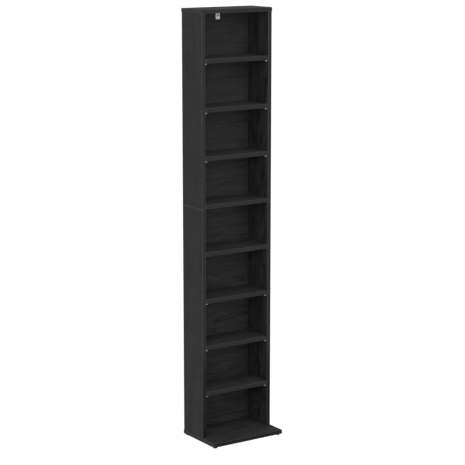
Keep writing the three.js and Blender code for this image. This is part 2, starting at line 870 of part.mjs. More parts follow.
// The whole tower. The group's y = 0 is the side panels' front edge.
const tower = new THREE.Group();
tower.position.y = caseFront;
tower.add(
  baseBoard(),
  ...glidePlaces().map(glide),
  ...baseScrews(),
  sidePanel('left_side_lower', -1, sections.lower),
  sidePanel('right_side_lower', 1, sections.lower),
  sidePanel('left_side_upper', -1, sections.upper),
  sidePanel('right_side_upper', 1, sections.upper),
  ...backPanels(),
  ...shelves.map((shelf) => (shelf.fixed ? fixedShelf(shelf) : looseShelf(shelf))),
  ...shelves.filter((shelf) => !shelf.fixed).flatMap(pinsUnder),
  topPanel(),
  ...camLocks('left', -1),
  ...camLocks('right', 1),
  bracket(),
  ...bracketScrews(),
);

const object = new THREE.Group();
object.name = 'storage_tower';
object.add(tower);

export default object;
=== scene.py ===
"""Looks of a tall open storage tower for disc cases, built in black oak board.

All pieces stand in the tower's own frame, in metres: X runs left to right, Y front to back and Z up
from the floor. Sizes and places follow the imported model's nodes, and a few fine sizes are named here.
"""
import logging
import math
from collections.abc import Sequence
from dataclasses import dataclass, field, replace
from enum import Enum
from itertools import product

import bmesh
import bpy
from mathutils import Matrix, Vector


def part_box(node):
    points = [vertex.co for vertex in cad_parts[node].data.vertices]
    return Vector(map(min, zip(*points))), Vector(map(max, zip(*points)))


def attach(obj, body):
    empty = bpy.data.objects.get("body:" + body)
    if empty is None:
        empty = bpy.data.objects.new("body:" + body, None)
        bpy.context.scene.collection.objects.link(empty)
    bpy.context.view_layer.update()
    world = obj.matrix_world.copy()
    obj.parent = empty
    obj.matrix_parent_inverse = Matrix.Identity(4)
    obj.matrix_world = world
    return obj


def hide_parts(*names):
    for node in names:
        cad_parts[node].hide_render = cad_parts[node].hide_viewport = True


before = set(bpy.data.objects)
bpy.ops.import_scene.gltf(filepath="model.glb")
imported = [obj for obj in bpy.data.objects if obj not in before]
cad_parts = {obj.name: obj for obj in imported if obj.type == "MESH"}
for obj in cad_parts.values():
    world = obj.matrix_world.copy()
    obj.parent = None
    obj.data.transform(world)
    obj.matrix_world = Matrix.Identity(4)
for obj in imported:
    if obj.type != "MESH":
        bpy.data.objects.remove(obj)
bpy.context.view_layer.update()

log = logging.getLogger("tower")

MM = 0.001
QUARTER_TURN = math.pi / 2
CASE = "case"
ENDS = ("front", "back")
UP = Vector((0.0, 0.0, 1.0))
BACK = Vector((0.0, 1.0, 0.0))
WHOLE = Vector((1.0, 1.0, 1.0))

# Names of the attributes that the meshes, the geometry trees and the finishes share.
RUB_AND_HIGHLIGHT = "rub"
GRAIN_SHIFT = "grain_shift"
AIM = "aim"
SIZE = "size"

GRAIN_REACH = 20.0
FLAT_ENOUGH = 0.9999
END_FACING = 0.75
CLOSE = 0.002 * MM
MOUTH_OVERRUN = 0.2 * MM

INNER_HALF_WIDTH = 133.5 * MM
JOINT_GAP = 0.1 * MM
SHELF_DOWEL_SETBACK = 38 * MM
SPLICE_DOWEL_SETBACK = 16 * MM

# The first stretch of printed grain on each kind of board.
TOP_SEED = 1
PLATE_SEED = 2
LOWER_SIDE_SEED = 11
UPPER_SIDE_SEED = 21
BACK_SEED = 31
SHELF_SEED = 40

Colour = tuple[float, float, float]
RadiusAndDepth = tuple[float, float]
Socket = bpy.types.NodeSocket
Outputs = bpy.types.bpy_prop_collection
Feed = Socket | bpy.types.Material | float | str | list[Socket] | Sequence[float]


# Node trees


def label(name: str) -> str:
    """A socket's name, from a Python name."""
    return name.replace("_", " ").title()


class SocketKind(Enum):
    """Kinds of socket that the node groups have."""

    GEOMETRY = "NodeSocketGeometry"
    MATERIAL = "NodeSocketMaterial"
    VECTOR = "NodeSocketVector"
    FLOAT = "NodeSocketFloat"
    INT = "NodeSocketInt"


class TreeBuilder:
    """Adds nodes to a tree, each fed by values or by other nodes' outputs."""

    def __init__(self, tree: bpy.types.NodeTree) -> None:
        """Works on the given tree."""
        self.tree = tree

    def feed(self, socket: Socket, value: Feed) -> None:
        """Links or sets one input.

        Args:
            socket: The input.
            value: Another node's output, a list of them, or the input's own value.
        """
        if isinstance(value, (Socket, list)):
            for source in value if isinstance(value, list) else [value]:
                self.tree.links.new(source, socket)
        elif socket.type == "VECTOR" and isinstance(value, (int, float)):
            socket.default_value = (value, value, value)
        else:
            socket.default_value = value

    def add(self, kind: str, feeds: dict[str | int, Feed] | None = None, **settings: object) -> Outputs:
        """Adds a node.

        Args:
            kind: The node's type.
            feeds: What each named or numbered input takes.
            **settings: Values of the node's own properties.

        Returns:
            The node's outputs.
        """
        node = self.tree.nodes.new(kind)
        for name, value in settings.items():
            setattr(node, name, value)
        for key, value in (feeds or {}).items():
            self.feed(node.inputs[key], value)
        return node.outputs

    def node(self, kind: str, **feeds: Feed) -> Socket:
        """The first output of a new node, whose inputs are fed by name."""
        return self.add(kind, {label(name): value for name, value in feeds.items()})[0]

    def group(self, tree: bpy.types.NodeTree, **feeds: Feed) -> Outputs:
        """The outputs of a node group, whose inputs are fed by name."""
        kind = "ShaderNodeGroup" if tree.type == "SHADER" else "GeometryNodeGroup"
        return self.add(kind, {label(name): value for name, value in feeds.items()}, node_tree=tree)

    def math(self, operation: str, *operands: Feed) -> Socket:
        """The result of a Math node on its operands, in order."""
        return self.add("ShaderNodeMath", dict(enumerate(operands)), operation=operation)[0]

    def vector(self, operation: str, *operands: Feed) -> Socket:
        """The vector that a Vector Math node makes of its operands, in order."""
        return self.add("ShaderNodeVectorMath", dict(enumerate(operands)), operation=operation)["Vector"]

    def measure(self, operation: str, *operands: Feed) -> Socket:
        """The number that a Vector Math node makes of its operands, in order."""
        return self.add("ShaderNodeVectorMath", dict(enumerate(operands)), operation=operation)["Value"]

    def combine(self, *parts: Feed) -> Socket:
        """A vector from its three parts."""
        return self.add("ShaderNodeCombineXYZ", dict(enumerate(parts)))[0]

    def parts(self, vector: Socket) -> Outputs:
        """A vector's three parts, X, Y and Z."""
        return self.add("ShaderNodeSeparateXYZ", {0: vector})

    def blend(self, factor: Feed, low: Feed, high: Feed) -> Socket:
        """A colour between low and high."""
        return self.add("ShaderNodeMix", {0: factor, 6: low, 7: high}, data_type="RGBA")[2]

    def mix(self, factor: Feed, low: Feed, high: Feed) -> Socket:
        """A number between low and high."""
        return self.add("ShaderNodeMix", {0: factor, 2: low, 3: high}, data_type="FLOAT")[0]

    def ramp(self, value: Socket, low: float, high: float, least: Feed = 0.0, most: Feed = 1.0) -> Socket:
        """From least to most, as the value goes from low to high."""
        feeds = {"from_min": low, "from_max": high, "to_min": least, "to_max": most}
        return self.node("ShaderNodeMapRange", value=value, **feeds)

    def noise(
        self, place: Socket, cell: Feed, detail: float, roughness: float = 0.5, scale: float = 1.0,
        distortion: float = 0.0,
    ) -> Socket:
        """Noise from 0 to 1 over a place, in cells of one width or of three."""
        sizes = {"scale": scale, "detail": detail, "roughness": roughness, "distortion": distortion}
        return self.node("ShaderNodeTexNoise", vector=self.vector("DIVIDE", place, cell), **sizes)


class GroupBuilder(TreeBuilder):
    """Builds a node group whose inputs and outputs have names."""

    def __init__(self, name: str, kind: str) -> None:
        """Starts an empty group.

        Args:
            name: The group's name.
            kind: ShaderNodeTree or GeometryNodeTree.
        """
        super().__init__(bpy.data.node_groups.new(name, kind))
        self.entry = self.tree.nodes.new("NodeGroupInput")
        self.exit = self.tree.nodes.new("NodeGroupOutput")

    def takes(self, kind: SocketKind, *names: str, **defaults: float) -> list[Socket]:
        """Adds named inputs of one kind.

        Args:
            kind: Their kind.
            *names: The inputs that every user sets.
            **defaults: The other inputs, with their values where nothing is set.

        Returns:
            The sockets inside the group that carry them, in order.
        """
        for name in (*names, *defaults):
            item = self.tree.interface.new_socket(name=label(name), in_out="INPUT", socket_type=kind.value)
            if name in defaults:
                item.default_value = defaults[name]
        return [self.entry.outputs[label(name)] for name in (*names, *defaults)]

    def gives(self, kind: SocketKind, **values: Socket) -> bpy.types.NodeTree:
        """Adds named outputs of one kind, which finishes the group.

        Args:
            kind: Their kind.
            **values: The sockets inside the group that feed them.

        Returns:
            The group.
        """
        for name, value in values.items():
            self.tree.interface.new_socket(name=label(name), in_out="OUTPUT", socket_type=kind.value)
            self.tree.links.new(value, self.exit.inputs[label(name)])
        return self.tree


# Shader groups that several finishes share


class ShaderGroup(GroupBuilder):
    """Builds a group of shader nodes that looks at a place."""

    def __init__(self, name: str) -> None:
        """Starts the group, with its input for the place."""
        super().__init__(name, "ShaderNodeTree")
        (self.place,) = self.takes(SocketKind.VECTOR, "vector")


def grey(value: float) -> tuple[float, float, float, float]:
    """A neutral grey for a colour socket."""
    return (value, value, value, 1.0)


def opaque(colour: Colour) -> tuple[float, float, float, float]:
    """A colour with full alpha, as colour sockets take it."""
    return (*colour, 1.0)


def oak_grain_group() -> bpy.types.NodeTree:
    """Printed oak that runs along the place's X: growth rings, streaks, fibres and pores.

    Returns:
        A group that gives a tone from 0 to 1, a mask of the pores and a relief.
    """
    group = ShaderGroup("oak_grain")
    ring_share, streak_length, rings, broad_share, streak_share, fibre_share = group.takes(
        SocketKind.FLOAT, "ring_share", "streak_length",
        rings=15.0, broad_share=0.8, streak_share=1.2, fibre_share=1.2,
    )

    def along(length: Feed, width: Feed, detail: float, roughness: float, distortion: float = 0.0) -> Socket:
        """Noise in cells that are long and narrow along the grain."""
        cell = group.combine(length, width, width)
        return group.noise(group.place, cell, detail, roughness, distortion=distortion)

    def share_of(value: Socket, share: Socket) -> Socket:
        """How far a noise lifts or lowers the tone."""
        return group.math("MULTIPLY", group.math("SUBTRACT", value, 0.5), share)

    # Each year's ring darkens slowly and ends sharply, in a ragged line.
    fibre = along(55 * MM, 1.1 * MM, 2.0, 0.6)
    figure = along(0.55, 90 * MM, 2.0, 0.42, 0.3)
    growth = group.math("MULTIPLY_ADD", fibre, 0.7, group.math("MULTIPLY", figure, rings))
    line = group.math("POWER", group.math("FRACT", growth), 4.0)
    heart = group.ramp(along(0.5, 70 * MM, 1.0, 0.5), 0.34, 0.54)
    dark_line = group.math("MULTIPLY", line, heart)
    ringed = group.math("SUBTRACT", group.math("MULTIPLY", heart, 0.2), dark_line)
    tone = group.math("MULTIPLY_ADD", ringed, ring_share, 0.5)
    for part in (
        share_of(along(0.45, 24 * MM, 1.0, 0.5), broad_share),
        share_of(along(streak_length, 5.2 * MM, 2.0, 0.55), streak_share),
        share_of(fibre, fibre_share),
    ):
        tone = group.math("ADD", tone, part)
    tone = group.ramp(tone, 0.0, 1.0)
    pore = group.ramp(along(13 * MM, 0.5 * MM, 1.5, 0.55), 0.53, 0.62)
    pores = group.math("MULTIPLY", pore, group.math("MULTIPLY_ADD", dark_line, 0.55, 0.45))
    relief = group.math("MULTIPLY_ADD", pores, -1.0, group.math("MULTIPLY", tone, 0.5))
    return group.gives(SocketKind.FLOAT, tone=tone, pores=pores, relief=relief)


def rubbed_edge_group() -> bpy.types.NodeTree:
    """Where a rounded edge is made lighter, part edge wear and part painted highlight, from the mesh's own
    mask, a little unevenly.

    Returns:
        A group that gives a share from 0 to 1.
    """
    group = ShaderGroup("rubbed_edge")
    mask, amount, patch_size = group.takes(SocketKind.FLOAT, "mask", "amount", patch_size=50 * MM)
    uneven = group.ramp(group.noise(group.place, patch_size, 3.0, 0.6), 0.3, 0.65, 0.55, 1.0)
    share = group.math("MULTIPLY", group.math("MULTIPLY", mask, uneven), amount)
    return group.gives(SocketKind.FLOAT, share=share)


def cloudy_gloss_group() -> bpy.types.NodeTree:
    """Roughness that drifts over a surface, as handling and the press leave it.

    Returns:
        A group that gives a roughness between two values.
    """
    group = ShaderGroup("cloudy_gloss")
    smoothest, roughest, cloud_size = group.takes(SocketKind.FLOAT, "smoothest", "roughest", "cloud_size")
    clouds = group.noise(group.place, cloud_size, 4.0, 0.6)
    return group.gives(SocketKind.FLOAT, roughness=group.ramp(clouds, 0.3, 0.7, smoothest, roughest))


def settled_dust_group() -> bpy.types.NodeTree:
    """A thin haze of dust on what faces up.

    Returns:
        A group that gives a share from 0 to 1.
    """
    group = ShaderGroup("settled_dust")
    amount, patch_size = group.takes(SocketKind.FLOAT, "amount", patch_size=30 * MM)
    upward = group.ramp(group.parts(group.add("ShaderNodeNewGeometry")["Normal"])["Z"], 0.6, 0.95)
    patches = group.noise(group.place, patch_size, 5.0, 0.7)
    share = group.math("MULTIPLY", group.math("MULTIPLY", upward, patches), amount)
    return group.gives(SocketKind.FLOAT, share=share)


def fine_scratch_group() -> bpy.types.NodeTree:
    """Fine tool marks and blotches of plated or cast metal.

    Returns:
        A group that gives a mask of marks and a relief.
    """
    group = ShaderGroup("fine_scratch")
    mark_length, mark_width = group.takes(SocketKind.FLOAT, mark_length=4 * MM, mark_width=0.2 * MM)
    marks = group.noise(group.place, group.combine(mark_length, mark_width, mark_width), 2.0)
    blotches = group.noise(group.place, mark_length, 3.0, 0.6, scale=0.7)
    return group.gives(SocketKind.FLOAT, mask=group.math("MULTIPLY", marks, blotches), relief=marks)


@dataclass
class ShaderGroups:
    """The node groups that the finishes place in their materials."""

    oak_grain: bpy.types.NodeTree = field(default_factory=oak_grain_group)
    rubbed_edge: bpy.types.NodeTree = field(default_factory=rubbed_edge_group)
    cloudy_gloss: bpy.types.NodeTree = field(default_factory=cloudy_gloss_group)
    settled_dust: bpy.types.NodeTree = field(default_factory=settled_dust_group)
    fine_scratch: bpy.types.NodeTree = field(default_factory=fine_scratch_group)


# Finishes


class GrainAxis(Enum):
    """The way that a board's grain runs, as the turn that lays that axis along X."""

    ACROSS = (0.0, 0.0, 0.0)
    UPRIGHT = (0.0, QUARTER_TURN, 0.0)
    DEEP = (0.0, 0.0, -QUARTER_TURN)


class MaterialBuilder(TreeBuilder):
    """A material with one Principled surface, dressed by shader groups."""

    def __init__(self, name: str, groups: ShaderGroups | None = None) -> None:
        """Starts the material.

        Args:
            name: The material's name.
            groups: The shared shader groups, where it uses them.
        """
        self.material = bpy.data.materials.new(name)
        self.material.use_nodes = True
        super().__init__(self.material.node_tree)
        self.groups = groups
        self.surface = self.tree.nodes["Principled BSDF"]

    def own_place(self) -> Socket:
        """The object's own coordinates."""
        return self.add("ShaderNodeTexCoord")["Object"]

    def grained_place(self, axis: GrainAxis) -> Socket:
        """The coordinates with the grain along X, and each board's own shift, so that no two look alike.

        Args:
            axis: The way that the grain runs.

        Returns:
            The coordinates.
        """
        shift = self.add("ShaderNodeAttribute", attribute_name=GRAIN_SHIFT)["Vector"]
        shifted = self.vector("ADD", self.own_place(), shift)
        return self.node("ShaderNodeMapping", vector=shifted, rotation=axis.value)

    def rubbed(self, place: Socket, amount: float) -> Socket:
        """How far the rounded edges are lightened at a place, part edge wear and part painted highlight,
        from 0 to the amount.
        """
        mask = self.add("ShaderNodeAttribute", attribute_name=RUB_AND_HIGHLIGHT)["Fac"]
        return self.group(self.groups.rubbed_edge, vector=place, mask=mask, amount=amount)["Share"]

    def gloss(self, place: Socket, smoothest: float, roughest: float, cloud_size: float = 90 * MM) -> Socket:
        """A roughness that drifts over the surface, from smoothest to roughest."""
        sizes = {"smoothest": smoothest, "roughest": roughest, "cloud_size": cloud_size}
        return self.group(self.groups.cloudy_gloss, vector=place, **sizes)["Roughness"]

    def bump(self, height: Socket, distance: float) -> None:
        """Feeds the surface's normal from a height in units of the given distance."""
        self.set(Normal=self.node("ShaderNodeBump", height=height, distance=distance, strength=1.0))

    def set(self, **values: Feed) -> None:
        """Sets or feeds the surface's inputs, named with underscores for spaces."""
        for name, value in values.items():
            self.feed(self.surface.inputs[name.replace("_", " ")], value)


@dataclass(frozen=True)
class OakFoil:
    """Matt black foil with a printed oak grain and pressed pores."""

    axis: GrainAxis
    dark: float = 0.0095
    light: float = 0.0325
    pore: float = 0.003
    pore_share: float = 0.85
    rings: float = 15.0
    ring_share: float = 0.6
    broad_share: float = 0.5
    streak_share: float = 1.3
    streak_length: float = 0.12
    fibre_share: float = 2.2
    smoothest: float = 0.5
    roughest: float = 0.66
    specular: float = 0.26
    relief: float = 0.08 * MM
    dust: float = 0.04
    dust_grey: float = 0.16
    # How far the rounded edges are lightened, and to what grey: part edge wear, part painted highlight.
    rub: float = 0.85
    rub_grey: float = 0.075
    rub_polish: float = -0.15

    def dress(self, build: MaterialBuilder) -> None:
        """Dresses a material.

        Args:
            build: The material.
        """
        place = build.grained_place(self.axis)
        grain = build.group(
            build.groups.oak_grain, vector=place, rings=self.rings, ring_share=self.ring_share,
            broad_share=self.broad_share, streak_share=self.streak_share, streak_length=self.streak_length,
            fibre_share=self.fibre_share,
        )
        wood = build.blend(grain["Tone"], grey(self.dark), grey(self.light))
        pored = build.blend(build.math("MULTIPLY", grain["Pores"], self.pore_share), wood, grey(self.pore))
        # Lighten the rounded edges: part edge wear, part painted highlight.
        rub = build.rubbed(place, self.rub)
        rubbed = build.blend(rub, pored, grey(self.rub_grey))
        dust = build.group(build.groups.settled_dust, vector=place, amount=self.dust)["Share"]
        gloss = build.gloss(place, self.smoothest, self.roughest)
        build.set(
            Base_Color=build.blend(dust, rubbed, grey(self.dust_grey)),
            Roughness=build.math("MULTIPLY_ADD", rub, self.rub_polish, gloss),
            Specular_IOR_Level=self.specular,
        )
        build.bump(grain["Relief"], self.relief)


@dataclass(frozen=True)
class EdgeBand:
    """Plain black edge band, with a faint fibre along its length.

    A painted shade darkens some bands towards the floor, up to a set height. Where a side's two
    lengths meet, the band carries a painted highlight outside a set reach from the middle of the tower.
    """

    axis: GrainAxis
    dark: float = 0.012
    light: float = 0.0175
    smoothest: float = 0.42
    roughest: float = 0.55
    specular: float = 0.22
    relief: float = 0.03 * MM
    fibre_length: float = 0.3
    # How far the rounded edges are lightened, and to what grey: part edge wear, part painted highlight.
    rub: float = 0.9
    rub_grey: float = 0.075
    rub_polish: float = -0.15
    # Painted shade that darkens the band towards the floor: where it ends, how softly, and its grey.
    foot_height: float = 0.0
    foot_fade: float = 45 * MM
    foot_grey: float = 0.004
    splice_height: float = 0.0
    splice_reach: float = 0.0
    splice_half_width: float = 2 * MM
    # Grey of the painted highlight on the rounded edges where a side's two lengths meet.
    splice_grey: float = 0.145

    def dress(self, build: MaterialBuilder) -> None:
        """Dresses a material.

        Args:
            build: The material.
        """
        place = build.grained_place(self.axis)
        grain = build.group(
            build.groups.oak_grain, vector=place, ring_share=0.0, streak_length=self.fibre_length,
        )
        plain = build.blend(grain["Tone"], grey(self.dark), grey(self.light))
        # Painted shade: the band darkens towards the floor.
        if self.foot_height:
            plain = build.blend(self.foot_mask(build), plain, grey(self.foot_grey))
        # Lighten the rounded edges towards a grey: part edge wear, part painted highlight.
        rub = build.rubbed(place, self.rub)
        worn = grey(self.rub_grey)
        # Painted highlight on the rounded edges where a side's two lengths meet.
        if self.splice_height:
            worn = build.blend(self.splice_mask(build), worn, grey(self.splice_grey))
        gloss = build.gloss(place, self.smoothest, self.roughest)
        build.set(
            Base_Color=build.blend(rub, plain, worn),
            Roughness=build.math("MULTIPLY_ADD", rub, self.rub_polish, gloss),
            Specular_IOR_Level=self.specular,
        )
        build.bump(grain["Relief"], self.relief)

    def splice_mask(self, build: MaterialBuilder) -> Socket:
        """Where the painted highlight on the splice's rounded edges lies.

        Args:
            build: The material.

        Returns:
            1 there and 0 elsewhere.
        """
        place = build.parts(build.own_place())
        off = build.math("ABSOLUTE", build.math("SUBTRACT", place["Z"], self.splice_height))
        near = build.math("LESS_THAN", off, self.splice_half_width)
        outside = build.math("GREATER_THAN", build.math("ABSOLUTE", place["X"]), self.splice_reach)
        return build.math("MULTIPLY", near, outside)

    def foot_mask(self, build: MaterialBuilder) -> Socket:
        """Where the painted shade darkens the band towards the floor, from 0 above it to 1 at the foot."""
        height = build.parts(build.own_place())["Z"]
        return build.ramp(height, self.foot_height + self.foot_fade, self.foot_height - self.foot_fade)


@dataclass(frozen=True)
class RawBoard:
    """Raw particle board, fibreboard or wood: pressed chips, mottled, patchy and dull."""

    dark: Colour
    light: Colour
    chip_size: float
    chip_share: float = 0.4
    cloud_scale: float = 0.3
    patch_size: float = 80 * MM
    patch_share: float = 0.0
    fleck_share: float = 0.0
    smoothest: float = 0.75
    roughest: float = 0.9
    specular: float = 0.2
    relief: float = 0.12 * MM

    def dress(self, build: MaterialBuilder) -> None:
        """Dresses a material.

        Args:
            build: The material.
        """
        place = build.own_place()
        feeds = {"Vector": build.vector("DIVIDE", place, self.chip_size), "Scale": 1.0, "Randomness": 1.0}
        chip = build.parts(build.add("ShaderNodeTexVoronoi", feeds)["Color"])["X"]
        cloud = build.noise(place, self.chip_size, 6.0, 0.65, scale=self.cloud_scale)
        patch = build.noise(place, self.patch_size, 5.0, 0.6)
        chips = build.math("MULTIPLY", chip, self.chip_share)
        tone = build.math("MULTIPLY_ADD", cloud, 1.0 - self.chip_share, chips)
        tone = build.math("MULTIPLY_ADD", build.math("SUBTRACT", patch, 0.5), self.patch_share, tone)
        tone = build.math("MULTIPLY_ADD", build.ramp(cloud, 0.58, 0.7), self.fleck_share, tone)
        build.set(
            Base_Color=build.blend(tone, opaque(self.dark), opaque(self.light)),
            Roughness=build.gloss(place, self.smoothest, self.roughest),
            Specular_IOR_Level=self.specular,
        )
        build.bump(tone, self.relief)


@dataclass(frozen=True)
class PlatedMetal:
    """Plated steel or cast zinc, with fine marks."""

    worn: Colour
    clean: Colour
    smoothest: float
    roughest: float
    cloud_size: float = 4 * MM
    relief: float = 0.02 * MM

    def dress(self, build: MaterialBuilder) -> None:
        """Dresses a material.

        Args:
            build: The material.
        """
        place = build.own_place()
        marks = build.group(build.groups.fine_scratch, vector=place)
        build.set(
            Base_Color=build.blend(marks["Mask"], opaque(self.clean), opaque(self.worn)),
            Roughness=build.gloss(place, self.smoothest, self.roughest, self.cloud_size),
            Metallic=1.0,
        )
        build.bump(marks["Relief"], self.relief)


@dataclass(frozen=True)
class MouldedPlastic:
    """Moulded plastic with the fine texture of its mould."""

    shaded: Colour
    clean: Colour
    smoothest: float
    roughest: float
    cloud_size: float = 9 * MM
    texture_size: float = 0.6 * MM
    relief: float = 0.015 * MM
    dust: float = 0.1
    dust_size: float = 4 * MM

    def dress(self, build: MaterialBuilder) -> None:
        """Dresses a material.

        Args:
            build: The material.
        """
        place = build.own_place()
        texture = build.noise(place, self.texture_size, 2.0)
        settled = build.groups.settled_dust
        dust = build.group(settled, vector=place, amount=self.dust, patch_size=self.dust_size)["Share"]
        tinted = build.blend(texture, opaque(self.clean), opaque(self.shaded))
        build.set(
            Base_Color=build.blend(dust, tinted, opaque(self.shaded)),
            Roughness=build.gloss(place, self.smoothest, self.roughest, self.cloud_size),
        )
        build.bump(texture, self.relief)


# How far in from a side's outer face the splice's painted highlight reaches.
SPLICE_HIGHLIGHT_DEPTH = 2 * MM
SPLICE_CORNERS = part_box("right_side_upper")
SPLICE = {"splice_height": SPLICE_CORNERS[0].z, "splice_reach": SPLICE_CORNERS[1].x - SPLICE_HIGHLIGHT_DEPTH}


class Look(Enum):
    """Every finish of the tower."""

    OAK_FOIL_ACROSS = OakFoil(GrainAxis.ACROSS, specular=0.16, smoothest=0.7, roughest=0.82)
    # Outer faces of the sides: darks lighter than the inner copy's, a painted sheen, and a calmer figure.
    OAK_FOIL_UPRIGHT = OakFoil(
        GrainAxis.UPRIGHT, dark=0.012, light=0.035, ring_share=0.25, broad_share=0.15, streak_share=1.1,
        streak_length=0.4, fibre_share=1.8,
    )
    OAK_FOIL_UPRIGHT_INNER = OakFoil(
        GrainAxis.UPRIGHT, dark=0.006, light=0.037, ring_share=0.9, broad_share=0.6, streak_share=2.5,
        streak_length=0.1, fibre_share=2.4,
    )
    OAK_FOIL_BACK_LOWER = OakFoil(GrainAxis.ACROSS, ring_share=0.85, streak_share=1.5)
    OAK_FOIL_BACK_UPPER = OakFoil(GrainAxis.ACROSS, ring_share=0.4, streak_share=1.0, fibre_share=1.8)
    EDGE_BAND_ACROSS = EdgeBand(GrainAxis.ACROSS)
    # The foot plate's band is darker: painted shade near the floor.
    EDGE_BAND_PLATE = EdgeBand(GrainAxis.ACROSS, dark=0.004, light=0.008)
    # Upper side boards' bands, with the splice's painted highlight.
    EDGE_BAND_UPRIGHT = EdgeBand(GrainAxis.UPRIGHT, **SPLICE)
    # Lower side boards' bands: painted shade towards the floor, and the splice's painted highlight.
    EDGE_BAND_FOOT = EdgeBand(GrainAxis.UPRIGHT, foot_height=0.3, **SPLICE)
    # A lighter band on the ends that face sideways: painted light from the side.
    EDGE_BAND_END = EdgeBand(GrainAxis.DEEP, dark=0.024, light=0.033)
    PARTICLE_BOARD = RawBoard((0.16, 0.1, 0.055), (0.42, 0.3, 0.18), 1.6 * MM)
    FIBREBOARD_REAR = RawBoard(
        (0.011, 0.01, 0.009), (0.052, 0.047, 0.042), 0.9 * MM, patch_share=0.8, fleck_share=0.5,
    )
    BEECH = RawBoard((0.36, 0.22, 0.12), (0.5, 0.34, 0.2), 1.2 * MM)
    BRIGHT_STEEL = PlatedMetal((0.36, 0.36, 0.365), (0.66, 0.66, 0.665), 0.22, 0.36)
    DULL_ZINC = PlatedMetal((0.38, 0.38, 0.39), (0.66, 0.66, 0.67), 0.36, 0.55)
    WHITE_PLASTIC = MouldedPlastic((0.86, 0.86, 0.855), (0.95, 0.95, 0.945), 0.3, 0.42)
    BLACK_PLASTIC = MouldedPlastic((0.02, 0.02, 0.02), (0.012, 0.012, 0.012), 0.4, 0.55)
    COVER_FOIL = MouldedPlastic((0.024, 0.024, 0.024), (0.018, 0.018, 0.018), 0.5, 0.62)

    def material(self, groups: ShaderGroups) -> bpy.types.Material:
        """The finish as a material of its name.

        Args:
            groups: The shared shader groups.

        Returns:
            The material.
        """
        build = MaterialBuilder(self.name.lower(), groups)
        self.value.dress(build)
        return build.material


# Geometry trees


class GeometryBuilder(GroupBuilder):
    """Builds a geometry tree."""

    def __init__(self, name: str) -> None:
        """Starts an empty tree."""
        super().__init__(name, "GeometryNodeTree")

    def store(self, geometry: Socket, name: str, data_type: str, value: Socket) -> Socket:
        """A geometry with a value stored on its points, by name."""
        feeds = {"Geometry": geometry, "Name": name, "Value": value}
        return self.add("GeometryNodeStoreNamedAttribute", feeds, data_type=data_type, domain="POINT")[0]

    def stored(self, name: str) -> Socket:
        """A vector attribute, by name."""
        return self.add("GeometryNodeInputNamedAttribute", {"Name": name}, data_type="FLOAT_VECTOR")[0]

    def join(self, *shapes: Socket) -> Socket:
        """Several shapes as one."""
        return self.add("GeometryNodeJoinGeometry", {0: list(shapes)})[0]

    def moved(self, shape: Socket, **feeds: Feed) -> Socket:
        """A shape, shifted, turned or scaled."""
        return self.node("GeometryNodeTransform", geometry=shape, **feeds)

    def dressed(self, shape: Socket, material: Socket, chosen: Feed = True) -> Socket:
        """A shape whose chosen faces have a material."""
        return self.node("GeometryNodeSetMaterial", geometry=shape, selection=chosen, material=material)

    def difference(self, solid: Socket, cutters: Socket) -> Socket:
        """What is left of a solid when the cutters, which may cross, are taken out of it."""
        feeds = {"Mesh 1": solid, "Mesh 2": cutters, "Self Intersection": True}
        return self.add("GeometryNodeMeshBoolean", feeds, operation="DIFFERENCE", solver="EXACT")[0]

    def where_positive(self, size: Socket, shape: Socket, otherwise: Socket | None = None) -> Socket:
        """A shape if a size is above zero, and otherwise another one or nothing.

        Args:
            size: The size.
            shape: The shape that needs it.
            otherwise: The other shape.

        Returns:
            The one of the two.
        """
        feeds = {"Switch": self.math("GREATER_THAN", size, 0.0), "True": shape}
        if otherwise is not None:
            feeds["False"] = otherwise
        return self.add("GeometryNodeSwitch", feeds, input_type="GEOMETRY")[0]

    def smooth_rounds(self, shape: Socket) -> Socket:
        """Shades rounded faces smooth, and flat those that look along one of the three axes.

        Args:
            shape: The shape.

        Returns:
            The shaded shape.
        """
        parts = self.parts(self.vector("ABSOLUTE", self.node("GeometryNodeInputNormal")))
        widest = self.math("MAXIMUM", self.math("MAXIMUM", parts[0], parts[1]), parts[2])
        rounded = self.math("LESS_THAN", widest, FLAT_ENOUGH)
        flat = self.node("GeometryNodeSetShadeSmooth", geometry=shape, shade_smooth=False)
        return self.node("GeometryNodeSetShadeSmooth", geometry=flat, selection=rounded, shade_smooth=True)

    def stand(self, shape: Socket, places: Socket) -> Socket:
        """Stands a copy of a shape on each vertex.

        Args:
            shape: The shape, which runs along Z.
            places: A mesh with an aim and a size on each vertex.

        Returns:
            The copies, realized.
        """
        turn = self.add("FunctionNodeAlignRotationToVector", {"Vector": self.stored(AIM)}, axis="Z")[0]
        copies = self.node(
            "GeometryNodeInstanceOnPoints", points=self.node("GeometryNodeMeshToPoints", mesh=places),
            instance=shape, rotation=turn, scale=self.stored(SIZE),
        )
        return self.node("GeometryNodeRealizeInstances", geometry=copies)


